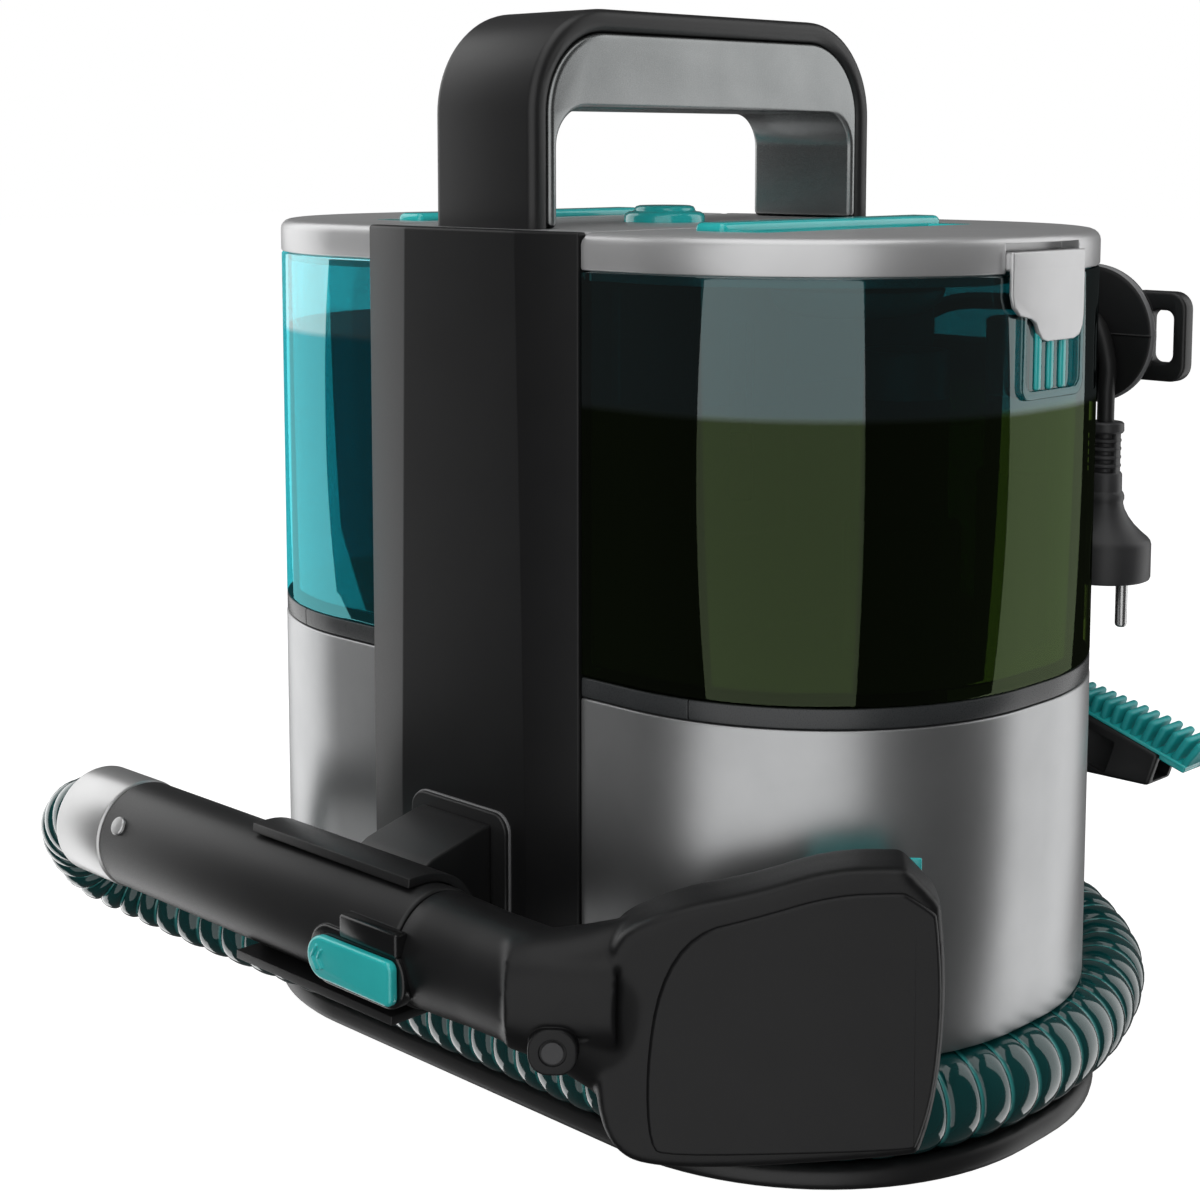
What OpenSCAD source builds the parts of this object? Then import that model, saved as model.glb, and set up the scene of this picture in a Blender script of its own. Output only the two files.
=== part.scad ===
// Spot extractor: two lift-out tanks either side of a central spine with an arch
// handle, a suction hose round the base and a hand tool docked in front.
// Millimetres. +Z is up, the front is -Y and the dirty water tank is on +X.
// The origin is the centre of the underside of the base, on the floor.

/* [Body] */
// Width of the body across both tanks
body_w = 352; // [330:1:372]
// Depth of the body, front to rear
body_d = 206; // [200:1:214]
// Corner radius of the body in plan
body_r = 96; // [88:1:99]
// Height of the underside of the silver shells
shell_z0 = 43; // [43:0.5:46]
// Height of the top of the silver shells
shell_z1 = 158; // [150:1:166]
// Wall of the silver shells
shell_wall = 3; // [2:0.5:4]
// Width of the central spine
spine_w = 112; // [106:1:116]
// How far the spine stands proud of the tanks, front and rear
spine_proud = 6; // [4:0.5:7]

/* [Base] */
// Thickness of the base plate
base_t = 6; // [5:0.5:7]
// Height of the rim that holds the hose in its channel
rim_h = 3; // [2:0.5:3.2]
// How far the tray's rim stands proud of the body
tray_proud = 5; // [4:0.5:6]
// Depth of the hose channel under the shells
channel_d = 38; // [36:1:40]

/* [Tanks] */
// Height of the dark band under each tank
band_h = 7; // [5:0.5:9]
// Height from the top of the silver shells to the underside of the lids
tank_h = 150; // [140:1:158]
// Wall of the tanks
tank_wall = 2.6; // [2:0.2:3.4]
// Height of each lid
lid_h = 13; // [11:0.5:15]
// Length of each bail strap
bail_l = 128; // [110:1:132]

/* [Handle] */
// Width of the arch handle
handle_w = 53; // [44:1:58]
// How far the handle's legs stand in from the spine's faces
handle_inset = 12; // [11:0.5:18]
// Height of the handle over the lids
handle_h = 79; // [70:1:86]
// Height of the hand opening
opening_h = 43; // [38:0.5:48]

/* [Hand tool] */
// Outer diameter of the hand tool
tool_d = 42; // [38:0.5:43]
// Height of the axis of the hand tool
tool_z = 79; // [76:1:84]
// Distance of the axis of the hand tool in front of the origin
tool_out = 160; // [156:1:166]
// Angle that the nozzle head turns back towards the body
head_turn = 42; // [38:1:45]
// Thickness of the nozzle head
head_t = 30; // [26:1:32]

/* [Hose and cord] */
// Outer diameter of the suction hose over its ribs
hose_d = 33; // [30:0.5:33]
// Diameter of the power cord
cord_d = 7; // [6:0.1:7]

/* [Hidden] */
gap = 0.3;
black = "#1b1b1d";
silver = "#b9bbbd";
teal = "#1fb5b8";
smoke = "#1d5a5c";

band_z1 = shell_z1 + gap + band_h;
lid_z0 = shell_z1 + tank_h;
lid_z1 = lid_z0 + lid_h;
front_y = -body_d / 2;
rear_y = body_d / 2;
spine_y = body_d / 2 + spine_proud;
spine_face_w = 66;
handle_l = 2 * (spine_y - handle_inset);
lobe_x = body_w / 2 - body_r;
handle_top = lid_z1 + handle_h;
handle_wall = 8.5;
handle_r = 38;
grip_leg = 4;
tube_r = tool_d / 2;
dock_y = -tool_out;

// Rounded rectangle centred on the origin, made of true arcs
module rounded(w, d, r) {
    square([w - 2 * r, d], center = true);
    square([w, d - 2 * r], center = true);
    for (x = [-1, 1], y = [-1, 1])
        translate([x * (w / 2 - r), y * (d / 2 - r)]) circle(r = r, $fn = 96);
}

// Plan of the body, drawn in by an inset
module body_plan(inset = 0) {
    rounded(body_w - 2 * inset, body_d - 2 * inset, body_r - inset);
}

// Plan of one lobe of the body beside the spine; side is -1 left, 1 right
module lobe_plan(side, inset = 0, from = spine_w / 2 + 0.5) {
    intersection() {
        body_plan(inset);
        translate([side > 0 ? from : -from - body_w, -body_d]) square([body_w, 2 * body_d]);
    }
}

// Cylinder along X
module rod_x(r, x0, x1) {
    translate([x0, 0, 0]) rotate([0, 90, 0]) cylinder(r = r, h = x1 - x0, $fn = 64);
}

// Cylinder along Y
module rod_y(r, y0, y1) {
    translate([0, y0, 0]) rotate([-90, 0, 0]) cylinder(r = r, h = y1 - y0, $fn = 64);
}

// Arch in the YZ plane: two legs and a top with round outer corners
module arch(y0, y1, z0, z1, r, w) {
    rotate([90, 0, 90]) linear_extrude(w, center = true) {
        translate([y0, z0]) square([y1 - y0, z1 - r - z0]);
        translate([y0 + r, z0]) square([y1 - y0 - 2 * r, z1 - z0]);
        translate([y0 + r, z1 - r]) circle(r = r, $fn = 96);
        translate([y1 - r, z1 - r]) circle(r = r, $fn = 96);
    }
}

well_x = body_w / 2 - 58;
foot_x = body_w / 2 - 56;
foot_y = body_d / 2 - 51;
waist_wall = 3;
screw_r = 2;

module feet_places() {
    for (x = [-foot_x, foot_x], y = [-foot_y, foot_y]) translate([x, y, 0]) children();
}

module screw_places() {
    for (x = [-lobe_x, lobe_x], y = [-40, 40]) translate([x, y, 0]) children();
}

// Base plate with its rim, the waist wall behind the hose channel and pockets for the feet
module base_tray() {
    color(black) difference() {
        union() {
            linear_extrude(base_t) body_plan(-tray_proud);
            translate([0, 0, base_t]) linear_extrude(rim_h) difference() {
                body_plan(-tray_proud);
                body_plan(6 - tray_proud);
            }
            linear_extrude(shell_z0) difference() {
                body_plan(channel_d);
                body_plan(channel_d + waist_wall);
            }
        }
        feet_places() translate([0, 0, -1]) cylinder(r = 11, h = 4, $fn = 48);
        screw_places() {
            translate([0, 0, -1]) cylinder(r = 4.5, h = 4, $fn = 48);
            translate([0, 0, -1]) cylinder(r = screw_r + 0.2, h = base_t + 2, $fn = 48);
        }
    }
}

// Four pads let in flush with the underside
module rubber_feet() {
    color("#2b2b2b") feet_places() cylinder(r = 10.8, h = 2.8, $fn = 48);
}

// Four screws that pull the chassis down onto the base
module base_screws() {
    color("silver") screw_places() {
        translate([0, 0, 0.6]) cylinder(r = 4, h = 2.3, $fn = 48);
        translate([0, 0, 2.9]) cylinder(r = screw_r - 0.05, h = 12, $fn = 48);
    }
}

deck_t = 3;

// Inner deck that the shells and the machinery stand on, with its screw posts
module chassis_deck() {
    color("#2a2c2e") {
        translate([0, 0, shell_z0]) linear_extrude(deck_t) body_plan(shell_wall + gap);
        screw_places() translate([0, 0, base_t]) difference() {
            cylinder(r = 5, h = shell_z0 - base_t, $fn = 48);
            translate([0, 0, -1]) cylinder(r = screw_r, h = 14, $fn = 48);
        }
    }
}

// Silver shell round one lobe, with a shelf under the tank
module lower_shell(side) {
    color(silver) {
        translate([0, 0, shell_z0]) linear_extrude(shell_z1 - shell_z0) difference() {
            lobe_plan(side);
            lobe_plan(side, shell_wall, spine_w / 2 - 4);
        }
        translate([0, 0, shell_z1 - 3]) linear_extrude(3) difference() {
            lobe_plan(side, shell_wall);
            translate([side * well_x, 0]) circle(r = 24, $fn = 64);
        }
    }
}

module lower_shell_left() {
    lower_shell(-1);
}

module lower_shell_right() {
    lower_shell(1);
}

core_wall = 3;
cover_lap = 3;
core_w = spine_w - 4;
core_z0 = shell_z0 + deck_t;
core_z1 = lid_z1 - 5;

// Tower between the tanks: two walls tied by a shelf
module spine_core() {
    color(black) {
        for (side = [-1, 1])
            translate([side * (core_w / 2 - core_wall / 2), 0, (core_z0 + core_z1) / 2])
                cube([core_wall, body_d - 2 * (cover_lap + gap), core_z1 - core_z0], center = true);
        translate([0, 0, shell_z1]) cube([core_w - 2 * core_wall, body_d - 60, 4], center = true);
    }
}

// Plan of the front cover: a flat face between two chamfers, solid back to depth y
module spine_plan(y_in) {
    polygon([[-spine_w / 2, y_in], [-spine_w / 2, front_y - 1], [-spine_face_w / 2, -spine_y],
        [spine_face_w / 2, -spine_y], [spine_w / 2, front_y - 1], [spine_w / 2, y_in]]);
}

cover_t = 3;

// Black cover on the front of the spine, open behind
module spine_front_cover() {
    color(black) translate([0, 0, shell_z0]) linear_extrude(lid_z1 - shell_z0) difference() {
        spine_plan(front_y + cover_lap);
        translate([-spine_w / 2 + cover_t, front_y + 1]) square([spine_w - 2 * cover_t, 40]);
    }
}

grille_z = 215;
gland_x = 3;

// Black cover on the back of the spine, with the exhaust grille and the cord inlet
module spine_rear_cover() {
    color(black) difference() {
        mirror([0, 1, 0]) translate([0, 0, shell_z0]) linear_extrude(lid_z1 - shell_z0) difference() {
            spine_plan(front_y + cover_lap);
            translate([-spine_w / 2 + cover_t, front_y + 1]) square([spine_w - 2 * cover_t, 40]);
        }
        for (k = [0:6]) translate([12, rear_y - 8, grille_z - 18 + 6 * k]) cube([34, 20, 3]);
    }
}

top_t = 5;
top_w = spine_w - 2 * (cover_t + gap);
leg_clear = 0.3;

// Silver deck between the handle's legs, with the button's well
module spine_top() {
    color(silver) difference() {
        translate([0, 0, lid_z1 - top_t]) linear_extrude(top_t)
            translate([-top_w / 2, front_y + 1.3]) square([top_w, body_d - 2.6]);
        arch_legs(leg_clear);
        translate([0, button_y, lid_z1 - 20]) cylinder(r = button_r + 0.3, h = 40, $fn = 96);
    }
}

// Space that the handle's legs take through the deck
module arch_legs(clear) {
    for (side = [-1, 1])
        translate([0, side * (handle_l / 2 - (handle_wall + grip_leg) / 2), lid_z1])
            cube([handle_w + 2 * clear, handle_wall + grip_leg + 2 * clear, 60], center = true);
}

// Black outer shell of the handle; its legs reach down into the tower
module handle_outer_shell() {
    h = handle_l / 2;
    color(black) difference() {
        arch(-h, h, lid_z1 - 24, handle_top, handle_r, handle_w);
        arch(-h + handle_wall, h - handle_wall, lid_z1 - 60, handle_top - handle_wall,
            handle_r - handle_wall, handle_w + 2);
        for (side = [-1, 1]) translate([0, 0, lid_z1 - 14])
            rotate([side > 0 ? 180 : 0, 0, 0]) translate([0, 0, 0]) for (x = [-14, 14])
                translate([x, 0, 0]) rod_y(screw_r, -h - 1, -h + handle_wall + 1);
    }
}

// Silver grip inside the arch
module handle_grip_shell() {
    h = handle_l / 2 - handle_wall;
    color(silver) difference() {
        arch(-h, h, lid_z1, handle_top - handle_wall, handle_r - handle_wall, handle_w - 1);
        arch(-h + grip_leg, h - grip_leg, lid_z1 - 5, lid_z1 + opening_h, 14, handle_w + 2);
    }
}

// Screws that hold the legs from inside the tower
module handle_screws() {
    color("silver") for (s = [-1, 1], x = [-14, 14]) translate([x, 0, lid_z1 - 14])
        mirror([0, s > 0 ? 1 : 0, 0]) {
            rod_y(screw_r - 0.05, -handle_l / 2 + 1, -handle_l / 2 + handle_wall);
            rod_y(4, -handle_l / 2 + handle_wall, -handle_l / 2 + handle_wall + 2.5);
        }
}

plate_w = 52;
plate_z0 = 52;
plate_z1 = 110;
plate_t = 2.5;
cradle_x0 = -50;
cradle_x1 = 38;
cradle_r = tube_r + 0.4;
cradle_wall = 3.2;
arm_w = 37;

// Rounded plate on the spine that carries the dock
module dock_plate() {
    color(black) translate([0, -spine_y, (plate_z0 + plate_z1) / 2]) rotate([90, 0, 0])
        linear_extrude(plate_t) rounded(plate_w, plate_z1 - plate_z0, 7);
}

// Half-pipe cradle on its arm, open to the front so that the tool lifts off
module dock_cradle() {
    color(black) difference() {
        union() {
            translate([0, dock_y, tool_z]) rod_x(cradle_r + cradle_wall, cradle_x0, cradle_x1);
            translate([-arm_w / 2, dock_y, tool_z - 17]) cube([arm_w, tool_out - spine_y - plate_t, 38]);
            translate([cradle_x0, dock_y - 6, tool_z + cradle_r])
                cube([cradle_x1 - cradle_x0, 6, cradle_wall]);
            translate([cradle_x0, dock_y - 14, tool_z - cradle_r - cradle_wall])
                cube([cradle_x1 - cradle_x0, 14, cradle_wall]);
        }
        translate([0, dock_y, tool_z]) rod_x(cradle_r, cradle_x0 - 1, cradle_x1 + 1);
        translate([cradle_x0 - 1, dock_y - 40, tool_z - cradle_r])
            cube([cradle_x1 - cradle_x0 + 2, 40, 2 * cradle_r]);
        translate([cradle_x0 - 1, dock_y + 8, tool_z - 15])
            cube([trigger_x1 + 4 - cradle_x0, 24, 30]);
    }
}

motor_x = well_x;
motor_z0 = core_z0;

// Vacuum motor standing on the deck under the dirty tank
module motor() {
    color("#8c8f92") translate([motor_x, 0, motor_z0]) {
        difference() {
            cylinder(r = 36, h = 52, $fn = 64);
            translate([0, 0, -1]) cylinder(r = 5, h = 60, $fn = 48);
        }
    }
}

// Fan wheel on its shaft over the motor
module fan_rotor() {
    color("#c9ccce") translate([motor_x, 0, motor_z0]) {
        translate([0, 0, 4]) cylinder(r = 4.95, h = 66, $fn = 48);
        difference() {
            translate([0, 0, 56]) cylinder(r = 38, h = 2, $fn = 64);
        }
        for (k = [0:7]) rotate([0, 0, 45 * k]) translate([12, -1, 57.9]) cube([24, 2, 9]);
    }
}

// Round housing over the fan, with the suction eye
module fan_housing() {
    color("#2f3133") translate([motor_x, 0, motor_z0]) difference() {
        cylinder(r = 44, h = 76, $fn = 64);
        translate([0, 0, -1]) cylinder(r = 41, h = 74, $fn = 64);
        translate([0, 0, 60]) cylinder(r = 14, h = 30, $fn = 64);
    }
}

duct_z = motor_z0 + 76;

// Duct from the fan's eye up to the dirty tank's seat
module suction_duct() {
    color("#2f3133") translate([motor_x, 0, duct_z]) difference() {
        cylinder(r = 17, h = shell_z1 - duct_z, $fn = 64);
        translate([0, 0, -1]) cylinder(r = 14, h = 60, $fn = 64);
    }
}

// Water pump on the deck under the clean tank
module pump() {
    color("#3a3d40") translate([-motor_x, 0, core_z0]) {
        translate([0, 0, 20]) cube([56, 44, 40], center = true);
        translate([0, 0, 40]) cylinder(r = 12, h = 30, $fn = 48);
    }
}

// Seat that the clean tank's outlet valve stands in
module clean_valve_seat() {
    color("#3a3d40") translate([-well_x, 0, 0]) {
        translate([0, 0, shell_z1 - 22]) difference() {
            cylinder(r = 23.7, h = 22, $fn = 64);
            translate([0, 0, 6]) cylinder(r = 13, h = 20, $fn = 64);
            translate([0, 0, -1]) cylinder(r = 4, h = 10, $fn = 48);
        }
    }
}

// Control board on the tower's shelf
module circuit_board() {
    color("#17613b") translate([0, 0, shell_z1 + 2]) {
        translate([0, 0, 6.8]) cube([84, 96, 1.6], center = true);
        for (x = [-36, 36], y = [-42, 42]) translate([x, y, 0]) cylinder(r = 3, h = 6, $fn = 32);
        translate([0, 20, 12.6]) cube([30, 24, 10], center = true);
        translate([-14, -24, 15.1]) cylinder(r = 8, h = 15, center = true, $fn = 32);
    }
}

button_r = 16;
button_y = 0;

// Two-tier power button that presses down into the deck
module power_button() {
    color(teal) translate([0, button_y, lid_z1]) {
        translate([0, 0, -8]) cylinder(r = button_r, h = 12, $fn = 96);
        translate([0, 0, 4]) cylinder(r = button_r - 4, h = 2.5, $fn = 96);
    }
}

// Hollow tank over one lobe with a floor; the floor has a hole where it drains or fills
module tank(side, hole_r) {
    color(smoke, 0.6) translate([0, 0, band_z1]) difference() {
        linear_extrude(lid_z0 - band_z1 - gap) lobe_plan(side);
        translate([0, 0, 3]) linear_extrude(tank_h)
            lobe_plan(side, tank_wall, spine_w / 2 + 0.5 + tank_wall);
        translate([side * well_x, 0, -1]) cylinder(r = hole_r, h = 10, $fn = 64);
    }
}

// Dark band under one tank
module band(side, hole_r) {
    color("#3b3f42") translate([0, 0, shell_z1 + gap]) linear_extrude(band_h) difference() {
        lobe_plan(side);
        lobe_plan(side, 6, spine_w / 2 + 6.5);
    }
}

bail_x = 100;
bail_drop = 20;
bail_w = 14;
bail_t = 3;
bail_z = lid_z1 - 1.5;
pin_r = 1.2;

// Lid of one tank, with the pocket and pin holes of its bail strap
module lid(side) {
    color(silver) difference() {
        union() {
            translate([0, 0, lid_z0]) linear_extrude(lid_h - 3) lobe_plan(side);
            translate([0, 0, lid_z1 - 3]) linear_extrude(1.5) lobe_plan(side, 0.8);
            translate([0, 0, lid_z1 - 1.5]) linear_extrude(1.5) lobe_plan(side, 2.4);
            translate([0, 0, lid_z0 - 4]) linear_extrude(4) difference() {
                lobe_plan(side, tank_wall + gap, spine_w / 2 + 1 + tank_wall);
                lobe_plan(side, tank_wall + 3, spine_w / 2 + 4 + tank_wall);
            }
        }
        translate([side * bail_x - (side > 0 ? bail_drop + bail_w / 2 + 1 : 4),
            -bail_l / 2 - 0.5, lid_z1 - 4])
            cube([bail_drop + bail_w / 2 + 5, bail_l + 1, 10]);
        translate([side * bail_x, 0, bail_z]) rod_y(pin_r + 0.05, -bail_l / 2 - 3, bail_l / 2 + 3);
        if (side > 0) {
            translate([body_w / 2 - 8.5, -latch_w / 2 - gap, lid_z0 - 8])
                cube([20, latch_w + 2 * gap, 18.2]);
            translate([latch_x, 0, latch_z]) rod_y(pin_r + 0.05, -latch_w / 2 - 3, latch_w / 2 + 3);
        }
    }
}

// Folding strap in its lid's pocket; it swings up about its two pins
module bail(side) {
    half = bail_l / 2;
    color(teal) translate([side * bail_x, 0, bail_z]) {
        translate([side * -bail_drop - bail_w / 2, -half, -bail_t / 2])
            cube([bail_w, bail_l, bail_t]);
        for (y = [-half, half - 8])
            translate([side > 0 ? -bail_drop : -1.5, y, -bail_t / 2]) cube([bail_drop + 1.5, 8, bail_t]);
        rod_y(pin_r, -half - 2.5, -half + 4);
        rod_y(pin_r, half - 4, half + 2.5);
    }
}

module clean_tank() {
    tank(-1, 10);
}

module clean_band() {
    band(-1);
}

module clean_lid() {
    lid(-1);
}

module clean_bail() {
    bail(-1);
}

// Spring valve in the clean tank's floor
module clean_outlet_valve() {
    color("#d8dadb") translate([-well_x, 0, 0]) {
        translate([0, 0, band_z1 + 3.2]) cylinder(r = 13, h = 3, $fn = 64);
        translate([0, 0, shell_z1 - 12]) cylinder(r = 9, h = band_z1 + 4 - shell_z1 + 12, $fn = 64);
    }
}

module dirty_tank() {
    tank(1, inlet_r + 0.3);
}

module dirty_band() {
    band(1);
}

module dirty_lid() {
    lid(1);
}

module dirty_bail() {
    bail(1);
}

latch_w = 44;
latch_x = body_w / 2 - 4.2;
latch_z = lid_z0 + 4;

// Tab that hangs from the dirty lid and hooks under the tank's rim
module dirty_latch() {
    color(silver) translate([latch_x, -latch_w / 2, 0]) {
        translate([-2.9, 0, latch_z - 2.9]) cube([8, latch_w, 6.3]);
        translate([4.6, 0, latch_z - 28]) cube([3, latch_w, 31.4]);
    }
    color(silver) translate([latch_x, 0, latch_z]) {
        rod_y(pin_r, -latch_w / 2 - 2.5, -latch_w / 2 + 4);
        rod_y(pin_r, latch_w / 2 - 4, latch_w / 2 + 2.5);
    }
}

inlet_r = 16;
inlet_top = lid_z0 - 30;

// Riser that carries the dirty water up inside its tank
module dirty_inlet_tube() {
    color("#22292b") translate([well_x, 0, shell_z1 + gap]) difference() {
        union() {
            cylinder(r = inlet_r, h = inlet_top - shell_z1, $fn = 64);
            translate([0, 0, band_z1 + 3.2 - shell_z1]) cylinder(r = inlet_r + 5, h = 4, $fn = 64);
        }
        translate([0, 0, -1]) cylinder(r = inlet_r - 2, h = tank_h, $fn = 64);
    }
}

cage_x = 84;
cage_y = -52;
cage_r = 17;
cage_h = 92;
float_r = 13;
float_travel = 45;

// Cage under the dirty lid in which the float rises
module float_cage() {
    color("#22292b") translate([cage_x, cage_y, lid_z0 - cage_h]) difference() {
        cylinder(r = cage_r, h = cage_h, $fn = 64);
        translate([0, 0, 3]) cylinder(r = cage_r - 2.5, h = cage_h, $fn = 64);
        for (k = [0:3]) rotate([0, 0, 45 + 90 * k]) translate([0, -4, 12]) cube([30, 8, cage_h - 30]);
    }
}

// Float that shuts off the suction when the tank is full
module float() {
    color("#e0873a") translate([cage_x, cage_y, lid_z0 - cage_h + 3.3]) {
        cylinder(r = float_r, h = 26, $fn = 64);
        translate([0, 0, 25]) cylinder(r = 5, h = 5, $fn = 48);
    }
}

collar_x0 = -163.5;
collar_l = 31;
tube_x0 = collar_x0 + collar_l;
sleeve_x0 = -88;
sleeve_x1 = 12;
joint_x = 44.5;
tube_wall = 4;
trigger_x0 = -72;
trigger_x1 = -24;
slot_z = 11;
hinge_y = 14;
hinge_z = 11.9;

// Places its children on the axis of the docked tool
module at_tool() {
    translate([0, dock_y, tool_z]) children();
}

// Silver collar that grips the end of the hose
module tool_collar() {
    color("silver") at_tool() difference() {
        rod_x(tube_r + 0.5, collar_x0, tube_x0);
        rod_x(hose_d / 2 + 1, collar_x0 - 1, tube_x0 + 1);
    }
}

module trigger_slot() {
    translate([trigger_x0 - 1, 0, -slot_z]) cube([trigger_x1 - trigger_x0 + 2, 40, 2 * slot_z]);
}

// Tube of the hand tool, stepped down under its sleeve, with a flat seat for the latch
module tool_tube() {
    color(black) at_tool() difference() {
        union() {
            rod_x(tube_r, tube_x0, sleeve_x0);
            rod_x(tube_r - 1.5, sleeve_x0, sleeve_x1);
            rod_x(tube_r, sleeve_x1, joint_x);
            translate([sleeve_x1, -tube_r, latch_drop - latch_h / 2 + 1])
                cube([joint_x - sleeve_x1, 6, latch_h - 2]);
        }
        rod_x(tube_r - tube_wall, tube_x0 + 6, joint_x + 1);
        rod_x(13, tube_x0 - 1, tube_x0 + 8);
        trigger_slot();
        translate([trigger_x0 + 4, hinge_y, 0])
            cylinder(r = pin_r + 0.05, h = 2 * hinge_z + 0.4, center = true, $fn = 32);
        translate([16, -tube_r - 1, latch_drop - 3.3]) cube([14.3, 6, 6.6]);
    }
}

// Grip sleeve round the middle of the tube
module tool_sleeve() {
    color("#4a4d50") at_tool() difference() {
        rod_x(tube_r, sleeve_x0, sleeve_x1);
        rod_x(tube_r - 1.5, sleeve_x0 - 1, sleeve_x1 + 1);
        trigger_slot();
    }
}

// Spray trigger on the side that faces the body; it swings in about its pin
module tool_trigger() {
    color(teal) at_tool() {
        intersection() {
            translate([trigger_x0, 12.5, 1 - slot_z]) cube([trigger_x1 - trigger_x0, 12, 2 * slot_z - 2]);
            rod_x(tube_r + 2.5, trigger_x0 - 1, trigger_x1 + 1);
        }
        translate([trigger_x0 + 4, hinge_y, 0]) cylinder(r = pin_r, h = 2 * hinge_z, center = true, $fn = 32);
    }
}

latch_l = 45;
latch_h = 16;
latch_drop = -5;

// Teal slide that releases the nozzle head
module tool_latch() {
    color(teal) at_tool() {
        translate([joint_x + 5 - latch_l, 0, latch_drop]) rotate([90, 0, 0])
            translate([0, 0, tube_r + gap]) linear_extrude(3.2) {
                translate([latch_l / 2, 0]) rounded(latch_l, latch_h, 3);
                translate([latch_h / 2, 0]) circle(r = latch_h / 2, $fn = 64);
            }
        translate([23.7, -tube_r - 1, latch_drop - 3]) cube([6, 3.5, 6]);
    }
}

bend_x = body_w / 2 - 79.5;
neck_r = 20;
boss_s = 4;
boss_drop = -12;
elbow = neck_r * tan(head_turn / 2) - 1.5;

// Places its children at the bend, turned back along the head
module at_head() {
    translate([bend_x, dock_y, tool_z]) rotate([0, 0, head_turn]) children();
}

// Neck with its spigot in the tube, bent towards the head
module nozzle_neck() {
    color(black) {
        at_tool() {
            difference() {
                union() {
                    rod_x(neck_r, joint_x + gap, bend_x + elbow);
                    rod_x(tube_r - tube_wall - 0.2, joint_x - 18, joint_x + 1);
                }
                rod_x(neck_r - 6, joint_x - 20, bend_x - 20);
            }
        }
        at_head() difference() {
            union() {
                rod_x(neck_r - 0.5, -elbow, head_s0 + 4);
                translate([boss_s, 0, boss_drop]) rod_y(7, -neck_r - 0.6, -8);
            }
            translate([boss_s, 0, boss_drop]) rod_y(3.65, -neck_r - 1, -neck_r + 3);
        }
    }
}

head_s0 = 16;

// Side outline of the head, along its own axis and up
module head_outline() {
    polygon([[head_s0, -20], [18, -40], [24, -50], [33, -54], [56, -54.5], [92, -51.5],
        [120, -48.5], [126, -28], [128.5, 4], [125.6, 33], [121, 41], [113.7, 46], [92, 46],
        [67, 37.6], [45, 33], [30, 27], [22.7, 21.6], [18, 8]]);
}

// Outline of the raised panel on the head
module panel_outline() {
    polygon([[34, -46], [40, -49], [90, -47], [116, -44], [121, -26], [123, 4], [120.5, 31],
        [114, 38], [92, 38], [67, 30], [48, 25], [37, 8], [33, -20]]);
}

// Body of the head, hollow to the suction slot at its tip
module nozzle_shell() {
    color(black) at_head() difference() {
        rotate([90, 0, 0]) translate([0, 0, -11]) linear_extrude(head_t - 6) head_outline();
        translate([head_s0 + 8, -7, -36]) cube([140, 12, 66]);
        rod_x(neck_r + gap, 0, head_s0 + 4.3);
    }
}

// Raised cover panel on the outer face
module nozzle_cover() {
    color("#141415") at_head() rotate([90, 0, 0]) translate([0, 0, head_t - 17])
        linear_extrude(2.4) panel_outline();
}

brush_s = [90, 118];
tuft_pitch = 7;

// Brush strip on the inner face: a base plate and its tufts
module nozzle_brush() {
    color(teal) at_head() {
        translate([brush_s[0] - 4, 11, -28]) cube([brush_s[1] - brush_s[0] + 8, 1.6, 70]);
        for (row = [0:3], k = [0:8])
            translate([brush_s[0] + row * (brush_s[1] - brush_s[0]) / 3,
                12.5, -24 + tuft_pitch * k + (row % 2) * tuft_pitch / 2])
                rod_y(2.2, 0, 8.5);
    }
}

// Screw boss on the neck
module neck_screw() {
    color("#3a3a3c") at_head() translate([boss_s, 0, boss_drop])
        rod_y(3.6, -neck_r - 1.6, -neck_r + 3);
}

// ---- swept tubes ----

function lerp(a, b, t) = a + (b - a) * t;
function unit(v) = v / norm(v);

// Point on the smooth curve through the points p, at u segments from its start
function on_route(p, u) =
    let (n = len(p), i = min(floor(u), n - 2), t = u - i,
        a = p[max(i - 1, 0)], b = p[i], c = p[i + 1], d = p[min(i + 2, n - 1)])
    0.5 * (2 * b + (c - a) * t + (2 * a - 5 * b + 4 * c - d) * t * t + (3 * b - a - 3 * c + d) * t * t * t);

// Ring of a tube: radius r, sides, centre and tangent, kept level by a reference direction
function ring(c, tangent, r, sides, ref) =
    let (n = unit(cross(tangent, ref)), m = cross(n, unit(tangent)))
    [for (k = [0:sides - 1]) c + r * (cos(360 * k / sides) * n + sin(360 * k / sides) * m)];

// Directions at the centres c, with the first and last given
function tangents(c, first, last) = [for (i = [0:len(c) - 1])
    i == 0 ? first : (i == len(c) - 1 ? last : c[i + 1] - c[i - 1])];

// Faces that join rings a to b of a tube, as triangles
function band_faces(a, b, sides, flip) = [for (k = [0:sides - 1])
    let (p = a * sides + k, q = a * sides + (k + 1) % sides,
        r = b * sides + k, s = b * sides + (k + 1) % sides)
    each flip ? [[p, r, q], [q, r, s]] : [[p, q, r], [q, s, r]]];

// Closed tube through the centres c with a radius for each ring
module solid_tube(c, radii, sides, ref, first = [0, 0, 1], last = [0, 0, 1]) {
    t = tangents(c, first, last);
    n = len(c);
    polyhedron(
        points = [for (i = [0:n - 1]) each ring(c[i], t[i], radii[i], sides, ref)],
        faces = concat(
            [for (i = [0:n - 2]) each band_faces(i, i + 1, sides, false)],
            [for (k = [1:sides - 2]) [0, k + 1, k]],
            [for (k = [1:sides - 2]) let (o = (n - 1) * sides) [o, o + k, o + k + 1]]));
}

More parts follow.
